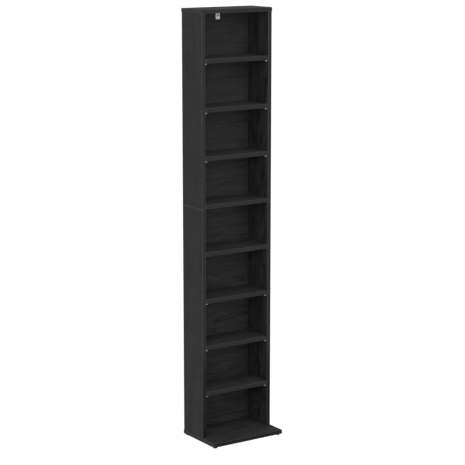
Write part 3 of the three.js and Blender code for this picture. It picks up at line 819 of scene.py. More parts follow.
def eased_board_tree() -> bpy.types.NodeTree:
    """A board between two corners with rounded edges, and with a rebate and bores cut out of it.

    The tree's geometry input holds one vertex for each bore.

    Returns:
        The tree.
    """
    tree = GeometryBuilder("eased_board")
    (bores,) = tree.takes(SocketKind.GEOMETRY, "bores")
    low, high, broad, rebate_low, rebate_high = tree.takes(
        SocketKind.VECTOR, "low", "high", "broad_side", "rebate_low", "rebate_high",
    )
    (ease,) = tree.takes(SocketKind.FLOAT, "ease")
    seed, steps, bore_sides = tree.takes(SocketKind.INT, "seed", "steps", bore_sides=24)
    face, reverse, band, end_band, core = tree.takes(
        SocketKind.MATERIAL, "face", "reverse", "band", "end_band", "core",
    )

    # A grid cube whose outermost steps on each side become the rounded edges.
    spans = tree.math("MULTIPLY_ADD", steps, 2.0, 1.0)
    rows = tree.math("ADD", spans, 1.0)
    cube = tree.node("GeometryNodeMeshCube", size=1.0, vertices_x=rows, vertices_y=rows, vertices_z=rows)
    place = tree.node("GeometryNodeInputPosition")
    upper = tree.vector("MULTIPLY_ADD", tree.vector("SIGN", place), 0.5, 0.5)
    row = tree.vector("MULTIPLY", tree.vector("ADD", place, 0.5), spans)
    turn = tree.vector("DIVIDE", tree.vector("SUBTRACT", tree.vector("SUBTRACT", row, steps), upper), steps)
    slant = tree.vector("TANGENT", tree.vector("MULTIPLY", turn, QUARTER_TURN / 2))
    inner_low = tree.vector("ADD", low, ease)
    inner_size = tree.vector("SUBTRACT", tree.vector("SUBTRACT", high, ease), inner_low)
    inner = tree.vector("MULTIPLY_ADD", inner_size, upper, inner_low)
    rounded = tree.vector("MULTIPLY_ADD", tree.vector("NORMALIZE", slant), ease, inner)
    bends = tree.parts(tree.vector("ABSOLUTE", turn))
    bend = tree.math("SUBTRACT", tree.math("ADD", tree.math("ADD", bends[0], bends[1]), bends[2]), 1.0)
    # Mask of the rounded edges, which the finishes lighten: part edge wear, part painted highlight.
    marked = tree.store(cube, RUB_AND_HIGHLIGHT, "FLOAT", tree.math("MINIMUM", bend, 1.0))
    board = tree.node("GeometryNodeSetPosition", geometry=marked, position=rounded)

    # Edge band all round, other band on the ends, and foil on the two broad sides.
    normal = tree.node("GeometryNodeInputNormal")
    facing = tree.measure("DOT_PRODUCT", normal, broad)
    board = tree.dressed(board, band)
    for material, chosen in (
        (end_band, tree.math("GREATER_THAN", tree.math("ABSOLUTE", tree.parts(normal)["X"]), END_FACING)),
        (face, tree.math("LESS_THAN", facing, -FLAT_ENOUGH)),
        (reverse, tree.math("GREATER_THAN", facing, FLAT_ENOUGH)),
    ):
        board = tree.dressed(board, material, chosen)

    # The rebate and the bores, which open the raw core.
    rebate_size = tree.vector("SUBTRACT", rebate_high, rebate_low)
    middle = tree.vector("MULTIPLY", tree.vector("ADD", rebate_high, rebate_low), 0.5)
    notch = tree.moved(tree.node("GeometryNodeMeshCube", size=rebate_size), translation=middle)
    rebate = tree.where_positive(tree.measure("LENGTH", rebate_size), notch)
    sizes = {"vertices": bore_sides, "radius_bottom": 1.0, "radius_top": 1.0, "depth": 1.0}
    holes = tree.stand(tree.node("GeometryNodeMeshCone", **sizes), bores)
    cutters = tree.dressed(tree.join(rebate, holes), core)
    board = tree.smooth_rounds(tree.difference(board, cutters))

    # Each board shows another stretch of the printed grain.
    one = tree.add("FunctionNodeInputInt", integer=1)[0]
    feeds = {"Min": -GRAIN_REACH, "Max": GRAIN_REACH, "ID": one, "Seed": seed}
    shift = tree.add("FunctionNodeRandomValue", feeds, data_type="FLOAT_VECTOR")[0]
    board = tree.store(board, GRAIN_SHIFT, "FLOAT_VECTOR", shift)
    return tree.gives(SocketKind.GEOMETRY, board=tree.node("GeometryNodeRealizeInstances", geometry=board))


def turned_blank_tree() -> bpy.types.NodeTree:
    """A round blank along Z, with a quarter round at its foot and another at its head.

    Returns:
        The tree.
    """
    tree = GeometryBuilder("turned_blank")
    radius, length, foot, top = tree.takes(SocketKind.FLOAT, "radius", "length", "foot_round", "top_round")
    sides, steps = tree.takes(SocketKind.INT, "sides", "steps")

    # The spine has a run of points for each quarter round, and no more between them.
    last = tree.math("MULTIPLY_ADD", steps, 2.0, 1.0)
    line = tree.node("GeometryNodeCurvePrimitiveLine", start=(0.0, 0.0, 0.0), end=(0.0, 0.0, 1.0))
    feeds = {"Curve": line, "Count": tree.math("ADD", last, 1.0)}
    spine = tree.add("GeometryNodeResampleCurve", feeds, mode="COUNT")[0]
    index = tree.node("GeometryNodeInputIndex")
    on_top = tree.math("GREATER_THAN", index, tree.math("ADD", steps, 0.5))
    step = tree.mix(on_top, index, tree.math("SUBTRACT", last, index))
    angle = tree.math("MULTIPLY", tree.math("DIVIDE", step, steps), QUARTER_TURN)
    rounding = tree.mix(on_top, foot, top)
    rise = tree.math("MULTIPLY", tree.math("SUBTRACT", 1.0, tree.math("COSINE", angle)), rounding)
    inset = tree.math("MULTIPLY", tree.math("SUBTRACT", 1.0, tree.math("SINE", angle)), rounding)
    place = tree.combine(0.0, 0.0, tree.mix(on_top, rise, tree.math("SUBTRACT", length, rise)))
    turned = tree.node(
        "GeometryNodeCurveToMesh",
        curve=tree.node("GeometryNodeSetPosition", geometry=spine, position=place),
        profile_curve=tree.node("GeometryNodeCurvePrimitiveCircle", resolution=sides, radius=1.0),
        scale=tree.math("SUBTRACT", radius, inset),
        fill_caps=True,
    )
    return tree.gives(SocketKind.GEOMETRY, blank=turned)


@dataclass(frozen=True)
class Fixing:
    """Sizes of a turned fixing: a head, and a shank and a cross recess where these have a length."""

    head_radius: float
    head_height: float
    head_round: float
    seat_round: float
    shank_radius: float = 2 * MM
    shank_length: float = 0.0
    tip_round: float = 1 * MM
    cross_length: float = 0.0
    cross_width: float = 1 * MM
    cross_depth: float = 1 * MM
    cross_taper: float = 0.4
    sides: int = 24
    steps: int = 4


def fixing_tree() -> bpy.types.NodeTree:
    """Turned fixings of one size and finish, of which the geometry input holds one vertex each.

    Returns:
        The tree.
    """
    blank = turned_blank_tree()
    tree = GeometryBuilder("fixings")
    (places,) = tree.takes(SocketKind.GEOMETRY, "places")
    head_radius, head_height, head_round, seat_round = tree.takes(
        SocketKind.FLOAT, "head_radius", "head_height", "head_round", "seat_round",
    )
    shank_radius, shank_length, tip_round = tree.takes(
        SocketKind.FLOAT, "shank_radius", "shank_length", "tip_round",
    )
    cross_length, cross_width, cross_depth, cross_taper = tree.takes(
        SocketKind.FLOAT, "cross_length", "cross_width", "cross_depth", "cross_taper",
    )
    sides, steps = tree.takes(SocketKind.INT, "sides", "steps")
    (material,) = tree.takes(SocketKind.MATERIAL, "material")

    def turned(radius: Socket, length: Socket, foot_round: Feed, top_round: Socket) -> Socket:
        """A blank with the given sizes."""
        sizes = {"radius": radius, "length": length, "foot_round": foot_round, "top_round": top_round}
        return tree.smooth_rounds(tree.group(blank, **sizes, sides=sides, steps=steps)[0])

    # The recess: two bars that cross and narrow towards their floor, from a little before the head's face.
    wide = math.sqrt(0.5)
    narrow = tree.math("MULTIPLY", cross_taper, wide)
    stub = tree.node("GeometryNodeMeshCone", vertices=4, radius_bottom=wide, radius_top=narrow, depth=1.0)
    square = tree.moved(stub, rotation=(0.0, 0.0, QUARTER_TURN / 2))
    depth = tree.math("ADD", cross_depth, MOUTH_OVERRUN)
    bars = [
        tree.moved(square, translation=(0.0, 0.0, -MOUTH_OVERRUN), scale=tree.combine(across, along, depth))
        for across, along in ((cross_length, cross_width), (cross_width, cross_length))
    ]
    head = turned(head_radius, head_height, head_round, seat_round)
    crossed = tree.where_positive(cross_length, tree.difference(head, tree.join(*bars)), head)
    shank = turned(shank_radius, shank_length, 0.0, tip_round)
    behind = tree.moved(shank, translation=tree.combine(0.0, 0.0, head_height))
    whole = tree.join(crossed, tree.where_positive(shank_length, behind))
    return tree.gives(SocketKind.GEOMETRY, fixings=tree.dressed(tree.stand(whole, places), material))


# How the trees are run


@dataclass
class Points:
    """Places for a geometry tree, each with the way that it aims and the size of what stands there."""

    places: list[Vector] = field(default_factory=list)
    aims: list[Vector] = field(default_factory=list)
    sizes: list[Vector] = field(default_factory=list)

    def add(self, place: Vector, aim: Vector, size: Vector = WHOLE) -> None:
        """Adds a place.

        Args:
            place: The place.
            aim: The way that it aims, a unit vector.
            size: What the shape's own sizes are multiplied by.
        """
        self.places.append(place)
        self.aims.append(aim)
        self.sizes.append(size)

    def bore(self, mouth: Vector, aim: Vector, radius: float, depth: float) -> None:
        """Adds a bore from the middle of its mouth, on a board's face."""
        self.add(mouth - aim * MOUTH_OVERRUN, aim, Vector((radius, radius, depth + MOUTH_OVERRUN)))

    def mesh(self, name: str) -> bpy.types.Mesh:
        """The places as the vertices of a mesh.

        Args:
            name: What the mesh is for.

        Returns:
            The mesh.
        """
        mesh = bpy.data.meshes.new(f"{name}_points")
        mesh.from_pydata(self.places, [], [])
        for title, values in ((AIM, self.aims), (SIZE, self.sizes)):
            attribute = mesh.attributes.new(title, "FLOAT_VECTOR", "POINT")
            for item, value in zip(attribute.data, values):
                item.vector = value
        return mesh


def new_piece(name: str, mesh: bpy.types.Mesh) -> bpy.types.Object:
    """A new object at the origin that shows a mesh.

    Args:
        name: The piece's name.
        mesh: The mesh.

    Returns:
        The piece.
    """
    piece = bpy.data.objects.new(name, mesh)
    bpy.context.scene.collection.objects.link(piece)
    return piece


def settle(piece: bpy.types.Object) -> None:
    """Turns what a piece's modifiers make into its plain mesh, without doubles or faces of no area.

    Args:
        piece: The piece.
    """
    evaluated = piece.evaluated_get(bpy.context.evaluated_depsgraph_get())
    result = bpy.data.meshes.new_from_object(evaluated)
    work = bmesh.new()
    work.from_mesh(result)
    bmesh.ops.remove_doubles(work, verts=work.verts, dist=CLOSE)
    bmesh.ops.dissolve_degenerate(work, edges=work.edges, dist=CLOSE)
    work.to_mesh(result)
    work.free()
    rough = piece.data
    piece.modifiers.clear()
    piece.data = result
    bpy.data.meshes.remove(rough)
    result.name = piece.name


def run_tree(name: str, tree: bpy.types.NodeTree, points: Points, **inputs: object) -> bpy.types.Object:
    """Runs a geometry tree once and keeps the result as a plain mesh at the origin.

    Args:
        name: The piece's name.
        tree: The tree, whose last nodes realize the instances and set the materials.
        points: The places that the tree's geometry input holds.
        **inputs: What its named inputs take.

    Returns:
        The finished piece.
    """
    piece = new_piece(name, points.mesh(name))
    modifier = piece.modifiers.new(tree.name, "NODES")
    modifier.node_group = tree
    sockets = {item.name: item.identifier for item in tree.interface.items_tree if item.in_out == "INPUT"}
    for key, value in inputs.items():
        modifier[sockets[label(key)]] = value
    settle(piece)
    return piece


def hand_in(piece: bpy.types.Object, nodes: Sequence[str] = (), body: str = CASE) -> None:
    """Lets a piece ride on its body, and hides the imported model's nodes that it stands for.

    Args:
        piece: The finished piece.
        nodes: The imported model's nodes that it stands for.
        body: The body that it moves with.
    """
    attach(piece, body)
    if nodes:
        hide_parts(*nodes)
    log.info("%s rides on %s: %d faces", piece.name, body, len(piece.data.polygons))


def middle_of(node: str, **moved: float) -> Vector:
    """The middle of a node's box, or a place straight beside it.

    Args:
        node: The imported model's node.
        **moved: The coordinates that differ, by axis.

    Returns:
        The place.
    """
    low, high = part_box(node)
    middle = (low + high) / 2
    for axis, value in moved.items():
        setattr(middle, axis, value)
    return middle


def pair_in(node: str, setback: float, **moved: float) -> list[Vector]:
    """Two places in a node's box, one set back from its front and one as far in from its back."""
    low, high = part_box(node)
    return [middle_of(node, y=row, **moved) for row in (low.y + setback, high.y - setback)]


# Boards


class Side(Enum):
    """The tower's two sides, as the sign of X."""

    LEFT = -1
    RIGHT = 1

    @property
    def word(self) -> str:
        """The side's name."""
        return self.name.lower()

    @property
    def outwards(self) -> Vector:
        """The way from the middle of the tower out through this side."""
        return Vector((self.value, 0.0, 0.0))


class Level(Enum):
    """The two lengths of each side and of the back, as their loose shelves, fixed shelf and side seed."""

    LOWER = ((6, 7, 8), 5, LOWER_SIDE_SEED)
    UPPER = ((1, 2, 3), 4, UPPER_SIDE_SEED)

    def __init__(self, *facts: tuple[int, ...] | int) -> None:
        """Names a length's facts."""
        self.loose, self.fixed, self.seed = facts

    @property
    def word(self) -> str:
        """The length's name."""
        return self.name.lower()


class BroadSide(Enum):
    """The axis that a board's broad sides face."""

    SIDEWAYS = (1.0, 0.0, 0.0)
    BACKWARDS = (0.0, 1.0, 0.0)
    UPWARDS = (0.0, 0.0, 1.0)


CORNERS = tuple(product(Side, ENDS))
LOOSE_SHELVES = Level.UPPER.loose + Level.LOWER.loose
FIXED_SHELVES = (Level.UPPER.fixed, Level.LOWER.fixed)


@dataclass
class Board:
    """One board of the tower, which stands where its node does. Most of them lie level."""

    name: str
    node: str
    seed: int
    broad_side: BroadSide = BroadSide.UPWARDS
    face: Look = Look.OAK_FOIL_ACROSS
    reverse: Look = Look.OAK_FOIL_ACROSS
    band: Look = Look.EDGE_BAND_ACROSS
    end_band: Look = Look.EDGE_BAND_END
    core: Look = Look.PARTICLE_BOARD
    ease: float = 0.9 * MM
    steps: int = 3
    slot: str = "black_oak"
    body: str = CASE
    low: Vector = field(init=False)
    high: Vector = field(init=False)
    rebate_low: Vector = field(default_factory=Vector)
    rebate_high: Vector = field(default_factory=Vector)
    bores: Points = field(default_factory=Points)

    def __post_init__(self) -> None:
        """Takes the node's corners."""
        self.low, self.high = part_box(self.node)


@dataclass
class Workshop:
    """The materials and trees that every sub-assembly uses."""

    materials: dict[Look, bpy.types.Material]
    board_tree: bpy.types.NodeTree = field(default_factory=eased_board_tree)
    fixing_tree: bpy.types.NodeTree = field(default_factory=fixing_tree)

    def cut(self, board: Board) -> None:
        """Makes a board, lets it ride on its body and hides its node.

        Args:
            board: The board.
        """
        looks = ("face", "reverse", "band", "end_band", "core")
        sizes = ("low", "high", "rebate_low", "rebate_high", "ease", "steps", "seed")
        inputs = {name: self.materials[getattr(board, name)] for name in looks}
        inputs |= {name: getattr(board, name) for name in sizes}
        inputs["broad_side"] = board.broad_side.value
        piece = run_tree(board.name, self.board_tree, board.bores, **inputs)
        hand_in(piece, [board.node], board.body)

    def turn(self, name: str, look: Look, points: Points, fixing: Fixing) -> bpy.types.Object:
        """Turned fixings of one finish and size, on their places."""
        return run_tree(name, self.fixing_tree, points, material=self.materials[look], **vars(fixing))


@dataclass
class Carcass:
    """Top board, foot plate, four side boards and the two back sheets."""

    workshop: Workshop
    rebate_depth: float = 4 * MM
    rebate_width: float = 7 * MM
    overrun: float = 1 * MM
    back_edge: float = 103 * MM
    pin_bore: RadiusAndDepth = (2.65 * MM, 8.5 * MM)
    cam_bore: RadiusAndDepth = (7.6 * MM, 12.4 * MM)
    bolt_bore_radius: float = 3.7 * MM
    bolt_thread_bore_radius: float = 2.65 * MM
    shelf_dowel_bore: RadiusAndDepth = (4.1 * MM, 10.5 * MM)
    splice_dowel_bore: RadiusAndDepth = (4.1 * MM, 16.5 * MM)
    screw_head_bore: RadiusAndDepth = (5.3 * MM, 3.5 * MM)
    screw_shank_bore_radius: float = 3.6 * MM
    screw_core_bore: RadiusAndDepth = (2.6 * MM, 36 * MM)
    glide_bore: RadiusAndDepth = (2.75 * MM, 9.6 * MM)
    bracket_screw_bore: RadiusAndDepth = (1.9 * MM, 4 * MM)
    sheet_ease: float = 0.25 * MM
    plate_ease: float = 1.1 * MM
    side_ease: float = 1.4 * MM

    def build(self) -> None:
        """Makes the boards."""
        self.top_board()
        self.foot_plate()
        for (number, side), level in product(enumerate(Side), Level):
            self.side_board(side, level, level.seed + number)
        for number, level in enumerate(Level):
            self.back_sheet(level, BACK_SEED + number)

    def top_board(self) -> None:
        """The top board, bored from below for the cam bolts and the bracket's screw."""
        board = Board("top_board", "top_panel", TOP_SEED)
        bores = {f"cam_bolt_{side.word}_{end}": self.bolt_thread_bore_radius for side, end in CORNERS}
        bores["bracket_top_screw"] = self.bracket_screw_bore[0]
        for node, radius in bores.items():
            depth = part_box(node)[1].z - board.low.z
            board.bores.bore(middle_of(node, z=board.low.z), UP, radius, depth)
        self.workshop.cut(board)

    def foot_plate(self) -> None:
        """The base board, bored from below for the side boards' screws and the glides' pegs."""
        board = Board(
            "foot_plate", "base_board", PLATE_SEED, band=Look.EDGE_BAND_PLATE, ease=self.plate_ease, steps=4,
        )
        through = board.high.z - board.low.z + self.overrun
        for side, end in CORNERS:
            mouth = middle_of(f"base_screw_{side.word}_{end}", z=board.low.z)
            board.bores.bore(mouth, UP, *self.screw_head_bore)
            board.bores.bore(mouth, UP, self.screw_shank_bore_radius, through)
        for end, side in product(ENDS, Side):
            mouth = middle_of(f"glide_{end}_{side.word}", z=board.low.z)
            board.bores.bore(mouth, UP, *self.glide_bore)
        self.workshop.cut(board)

    def side_board(self, side: Side, level: Level, seed: int) -> None:
        """One length of a side, with its rebate and every socket that its hardware needs.

        Args:
            side: Left or right.
            level: The lower or the upper length.
            seed: Which stretch of the grain it shows.
        """
        upper = level is Level.UPPER
        band = Look.EDGE_BAND_UPRIGHT if upper else Look.EDGE_BAND_FOOT
        # Outer faces take the copy with a painted sheen, inner faces the inner copy.
        face, reverse = Look.OAK_FOIL_UPRIGHT, Look.OAK_FOIL_UPRIGHT_INNER
        if side is Side.RIGHT:
            face, reverse = reverse, face
        board = Board(
            f"{side.word}_side_board_{level.word}", f"{side.word}_side_{level.word}", seed,
            BroadSide.SIDEWAYS, face, reverse, band, band, ease=self.side_ease, steps=4,
        )
        if not upper:
            board.high.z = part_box(f"{side.word}_side_upper")[0].z - JOINT_GAP
        low, high, bores = board.low, board.high, board.bores
        inwards = side.value * INNER_HALF_WIDTH
        near, far = sorted((inwards - side.value * self.overrun, inwards + side.value * self.rebate_width))
        board.rebate_low = Vector((near, self.back_edge - self.rebate_depth, low.z - self.overrun))
        board.rebate_high = Vector((far, self.back_edge + self.overrun, high.z + self.overrun))
        for shelf, end in product(level.loose, ENDS):
            mouth = middle_of(f"shelf_{shelf}_pin_{end}_{side.word}", x=inwards)
            bores.bore(mouth, side.outwards, *self.pin_bore)
        for mouth in pair_in(f"fixed_shelf_{level.fixed}", SHELF_DOWEL_SETBACK, x=inwards):
            bores.bore(mouth, side.outwards, *self.shelf_dowel_bore)
        joint = low.z if upper else high.z
        for mouth in pair_in(f"{side.word}_side_lower", SPLICE_DOWEL_SETBACK, z=joint):
            bores.bore(mouth, UP if upper else -UP, *self.splice_dowel_bore)
        for end in ENDS:
            if upper:
                mouth = middle_of(f"cam_disc_{side.word}_{end}", x=inwards)
                bores.bore(mouth, side.outwards, *self.cam_bore)
                bolt = middle_of(f"cam_bolt_{side.word}_{end}", z=high.z)
                bores.bore(bolt, -UP, self.bolt_bore_radius, high.z - mouth.z)
            else:
                mouth = middle_of(f"base_screw_{side.word}_{end}", z=low.z)
                bores.bore(mouth, UP, *self.screw_core_bore)
        self.workshop.cut(board)

    def back_sheet(self, level: Level, seed: int) -> None:
        """One length of the thin back, foiled in front and raw behind.

        Args:
            level: The lower or the upper length.
            seed: Which stretch of the grain it shows.
        """
        upper = level is Level.UPPER
        front = Look.OAK_FOIL_BACK_UPPER if upper else Look.OAK_FOIL_BACK_LOWER
        raw = Look.FIBREBOARD_REAR
        board = Board(
            f"back_sheet_{level.word}", f"back_panel_{level.word}", seed, BroadSide.BACKWARDS,
            front, raw, raw, raw, raw, ease=self.sheet_ease, steps=2, slot="black_back",
        )
        if upper:
            mouth = middle_of("bracket_wall_screw", y=board.low.y)
            board.bores.bore(mouth, BACK, *self.bracket_screw_bore)
        self.workshop.cut(board)


@dataclass
class Shelving:
    """Six loose shelves that draw out, two fixed ones, and the pins that carry the loose ones."""

    workshop: Workshop
    dowel_bore: RadiusAndDepth = (4.05 * MM, 20 * MM)
    pin_radius: float = 2.5 * MM
    pin_round: float = 0.7 * MM

    def build(self) -> None:
        """Makes the shelves and the pins."""
        for number in LOOSE_SHELVES:
            board = Board(f"shelf_board_{number}", f"loose_shelf_{number}", SHELF_SEED + number)
            board.body = f"shelf_{number}"
            self.workshop.cut(board)
        for number in FIXED_SHELVES:
            self.fixed_shelf(number)
        self.pins()

    def fixed_shelf(self, number: int) -> None:
        """One fixed shelf, bored at its ends for the dowels.

        Args:
            number: The shelf, counted from the top.
        """
        board = Board(f"shelf_board_{number}", f"fixed_shelf_{number}", SHELF_SEED + number)
        board.high.x = INNER_HALF_WIDTH - JOINT_GAP
        board.low.x = -board.high.x
        for side in Side:
            for mouth in pair_in(board.node, SHELF_DOWEL_SETBACK, x=side.value * board.high.x):
                board.bores.bore(mouth, -side.outwards, *self.dowel_bore)
        self.workshop.cut(board)

    def pins(self) -> None:
        """All the shelf pins, as one piece on the case."""
        points = Points()
        nodes = []
        for number, end, side in product(LOOSE_SHELVES, ENDS, Side):
            nodes.append(f"shelf_{number}_pin_{end}_{side.word}")
            low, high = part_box(nodes[-1])
            inner = low.x if side is Side.RIGHT else high.x
            points.add(middle_of(nodes[-1], x=inner), side.outwards)
        pin = Fixing(self.pin_radius, high.x - low.x, self.pin_round, self.pin_round)
        hand_in(self.workshop.turn("shelf_pins", Look.BRIGHT_STEEL, points, pin), nodes)


@dataclass
class Dowels:
    """Glued dowels in the fixed shelves' ends and between the two lengths of each side."""

    workshop: Workshop
    radius: float = 4 * MM
    end_round: float = 0.9 * MM
    shelf_dowel_length: float = 29.5 * MM
    splice_dowel_length: float = 32 * MM

    def build(self) -> None:
        """Makes both sets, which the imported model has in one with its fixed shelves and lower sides."""
        shelf_points = Points()
        splice_points = Points()
        for side in Side:
            for node in (f"fixed_shelf_{number}" for number in FIXED_SHELVES):
                low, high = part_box(node)
                outer = high.x if side is Side.RIGHT else low.x
                for place in pair_in(node, SHELF_DOWEL_SETBACK, x=outer):
                    shelf_points.add(place, -side.outwards)
            node = f"{side.word}_side_lower"
            for place in pair_in(node, SPLICE_DOWEL_SETBACK, z=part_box(node)[1].z):
                splice_points.add(place, -UP)
        for name, points, length in (
            ("shelf_dowels", shelf_points, self.shelf_dowel_length),
            ("splice_dowels", splice_points, self.splice_dowel_length),
        ):
            dowel = Fixing(self.radius, length, self.end_round, self.end_round)
            hand_in(self.workshop.turn(name, Look.BEECH, points, dowel))


@dataclass
class SmallFixings:
    """Nails through the back sheets, foils over the cam discs, and the glides."""

    workshop: Workshop
    nail_across: float = 136.8 * MM
    nail_middle_across: float = 60 * MM
    nail_pitch: float = 118 * MM
    nail_end_inset: float = 16 * MM
    nail_joint_inset: float = 4.2 * MM
    nail: Fixing = Fixing(
        head_radius=2.2 * MM, head_height=0.7 * MM, head_round=0.35 * MM, seat_round=0.1 * MM,
        shank_radius=0.7 * MM, shank_length=14 * MM, tip_round=0.6 * MM, sides=16, steps=3,
    )
    cover: Fixing = Fixing(
        head_radius=9 * MM, head_height=0.3 * MM, head_round=0.2 * MM, seat_round=0.05 * MM,
        sides=48, steps=2,
    )
    glide: Fixing = Fixing(
        head_radius=7.5 * MM, head_height=4.9 * MM, head_round=1.8 * MM, seat_round=0.3 * MM,
        shank_radius=2.6 * MM, tip_round=0.8 * MM, sides=40, steps=5,
    )

    def build(self) -> None:
        """Makes all of them."""
        self.nails()
        self.covers()
        self.glides()

    def nail_rows(self) -> list[tuple[float, float]]:
        """Where the nails stand, along the back's edges, its joint and a fixed shelf.

        Returns:
            The places, as distances across and up.
        """
        rows = []
        for level in Level:
            low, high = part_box(f"back_panel_{level.word}")
            first = low.z + self.nail_end_inset
            run = high.z - self.nail_end_inset - first
            gaps = round(run / self.nail_pitch)
            for step, side in product(range(gaps + 1), Side):
                rows.append((side.value * self.nail_across, first + run * step / gaps))
        joint = (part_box("back_panel_lower")[1].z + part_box("back_panel_upper")[0].z) / 2
        shelf = middle_of(f"fixed_shelf_{Level.LOWER.fixed}").z
        heights = (joint - self.nail_joint_inset, joint + self.nail_joint_inset, shelf)
        for height, side in product(heights, Side):
            rows.append((side.value * self.nail_middle_across, height))
        return rows

    def nails(self) -> None:
        """The nails, their heads on the rear face of the back sheets."""
        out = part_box("back_panel_upper")[1].y + self.nail.head_height
        points = Points()
        for across, height in self.nail_rows():
            points.add(Vector((across, out, height)), -BACK)
        hand_in(self.workshop.turn("back_nails", Look.BRIGHT_STEEL, points, self.nail))

    def covers(self) -> None:
        """Thin foils stuck over the cam discs."""
        points = Points()
        for side, end in CORNERS:
            inner = side.value * (INNER_HALF_WIDTH - self.cover.head_height)
            points.add(middle_of(f"cam_disc_{side.word}_{end}", x=inner), side.outwards)
        hand_in(self.workshop.turn("cam_covers", Look.COVER_FOIL, points, self.cover))

    def glides(self) -> None:
        """The four glides, each a rounded foot with a peg in the base board."""
        points = Points()
        nodes = []
        for end, side in product(ENDS, Side):
            nodes.append(f"glide_{end}_{side.word}")
            low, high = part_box(nodes[-1])
            points.add(middle_of(nodes[-1], z=low.z), UP)
        glide = replace(self.glide, shank_length=high.z - low.z - self.glide.head_height)
        hand_in(self.workshop.turn("foot_glides", Look.BLACK_PLASTIC, points, glide), nodes)


@dataclass
class AntiTipBracket:
    """A moulded angle in the corner under the top board, with its two screws."""

    workshop: Workshop
    wall: float = 2.5 * MM
    inner_fillet: float = 2 * MM
    outer_round: float = 0.8 * MM
    end_round: float = 2.6 * MM
    arc_steps: int = 6
    edge_ease: float = 0.45 * MM
    edge_ease_steps: int = 3
    edge_least_angle: float = math.radians(40)
    screw_hole_radius: float = 2.2 * MM
    pan_head: Fixing = Fixing(
        head_radius=4.5 * MM, head_height=2.8 * MM, head_round=1.9 * MM, seat_round=0.2 * MM,
        shank_radius=1.9 * MM, tip_round=1.2 * MM, cross_length=4.9 * MM, cross_width=1.25 * MM,
        cross_depth=2.35 * MM, sides=40, steps=6,
    )

    def build(self) -> None:
        """Makes the bracket and its screws."""
        hand_in(self.angle(), ["anti_tip_bracket"])
        for node, aim in (("bracket_wall_screw", BACK), ("bracket_top_screw", UP)):
            hand_in(self.screw(node, aim), [node])

    def arc(self, x: float, y: float, radius: float, start: float, end: float) -> list[tuple[float, float]]:
        """Points of an arc in a plane.

        Args:
            x: The centre's first coordinate.
            y: The centre's second coordinate.
            radius: The arc's radius.
            start: The angle where the arc starts, in quarter turns.
            end: The angle where it ends, in quarter turns.

        Returns:
            The points.
        """
        step = QUARTER_TURN * (end - start) / self.arc_steps
        turns = [QUARTER_TURN * start + step * number for number in range(self.arc_steps + 1)]
        return [(x + radius * math.cos(turn), y + radius * math.sin(turn)) for turn in turns]

    def section(self, low: Vector, high: Vector, cut: float) -> list[tuple[float, float]]:
        """The angle's outline.

        Args:
            low: The bracket's lowest corner.
            high: Its highest corner.
            cut: How far both free ends are drawn in.

        Returns:
            The outline, as distances back and up.
        """
        outer, inner = self.outer_round, self.inner_fillet
        wall_face, leg_face = high.y - self.wall, high.z - self.wall
        return [
            (low.y + cut, leg_face),
            (low.y + cut, high.z),
            *self.arc(high.y - outer, high.z - outer, outer, 1, 0),
            (high.y, low.z + cut),
            (wall_face, low.z + cut),
            *self.arc(wall_face - inner, leg_face - inner, inner, 0, 1),
        ]

    def blank(self) -> bpy.types.Object:
        """The angle with rounded free ends, as it is before its edges and holes.

        Returns:
            The piece.
        """
        low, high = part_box("anti_tip_bracket")
        straight = (high.x - low.x) / 2 - self.end_round
        corner = self.arc(straight, self.end_round, self.end_round, -1, 0)
        stations = [(-x, cut) for x, cut in reversed(corner)] + corner
        mesh = bmesh.new()
        loops = []
        for x, cut in stations:
            loops.append([mesh.verts.new((x, *point)) for point in self.section(low, high, cut)])
        for left, right in zip(loops, loops[1:]):
            for index, vertex in enumerate(left):
                mesh.faces.new((left[index - 1], vertex, right[index], right[index - 1]))
        mesh.faces.new(reversed(loops[0]))
        mesh.faces.new(loops[-1])
        bmesh.ops.recalc_face_normals(mesh, faces=mesh.faces)
        data = bpy.data.meshes.new("bracket_angle")
        mesh.to_mesh(data)
        mesh.free()
        data.materials.append(self.workshop.materials[Look.WHITE_PLASTIC])
        return new_piece("bracket_angle", data)

    def hole_cutter(self) -> bpy.types.Object:
        """Round cutters through both legs of the angle, on its screws' axes.

        Returns:
            The cutters, as one piece that isn't kept.
        """
        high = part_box("anti_tip_bracket")[1]
        points = Points()
        points.add(middle_of("bracket_wall_screw", y=high.y - 2 * self.wall), BACK)
        points.add(middle_of("bracket_top_screw", z=high.z - 2 * self.wall), UP)
        hole = Fixing(self.screw_hole_radius, 3 * self.wall, 0.0, 0.0)
        return self.workshop.turn("hole_cutter", Look.WHITE_PLASTIC, points, hole)

    def angle(self) -> bpy.types.Object:
        """The finished angle, with eased edges and two holes.

        Returns:
            The piece.
        """
        piece = self.blank()
        bevel = piece.modifiers.new("moulded edge", "BEVEL")
        bevel.width = self.edge_ease
        bevel.segments = self.edge_ease_steps
        bevel.limit_method = "ANGLE"
        bevel.angle_limit = self.edge_least_angle
        cutter = self.hole_cutter()
        drill = piece.modifiers.new("screw holes", "BOOLEAN")
        drill.object = cutter
        drill.solver = "EXACT"
        settle(piece)
        bpy.data.objects.remove(cutter)
        for polygon in piece.data.polygons:
            polygon.use_smooth = max(map(abs, polygon.normal)) < FLAT_ENOUGH
        return piece

    def screw(self, node: str, aim: Vector) -> bpy.types.Object:
        """One pan-head screw with a cross recess.

        Args:
            node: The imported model's screw.
            aim: The way that it is driven.

        Returns:
            The piece.
        """
        low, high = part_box(node)
        length = (high - low).dot(aim)
        points = Points()
        points.add(middle_of(node) - aim * (length / 2), aim)
        screw = replace(self.pan_head, shank_length=length - self.pan_head.head_height)
        return self.workshop.turn(f"{node}_head", Look.DULL_ZINC, points, screw)


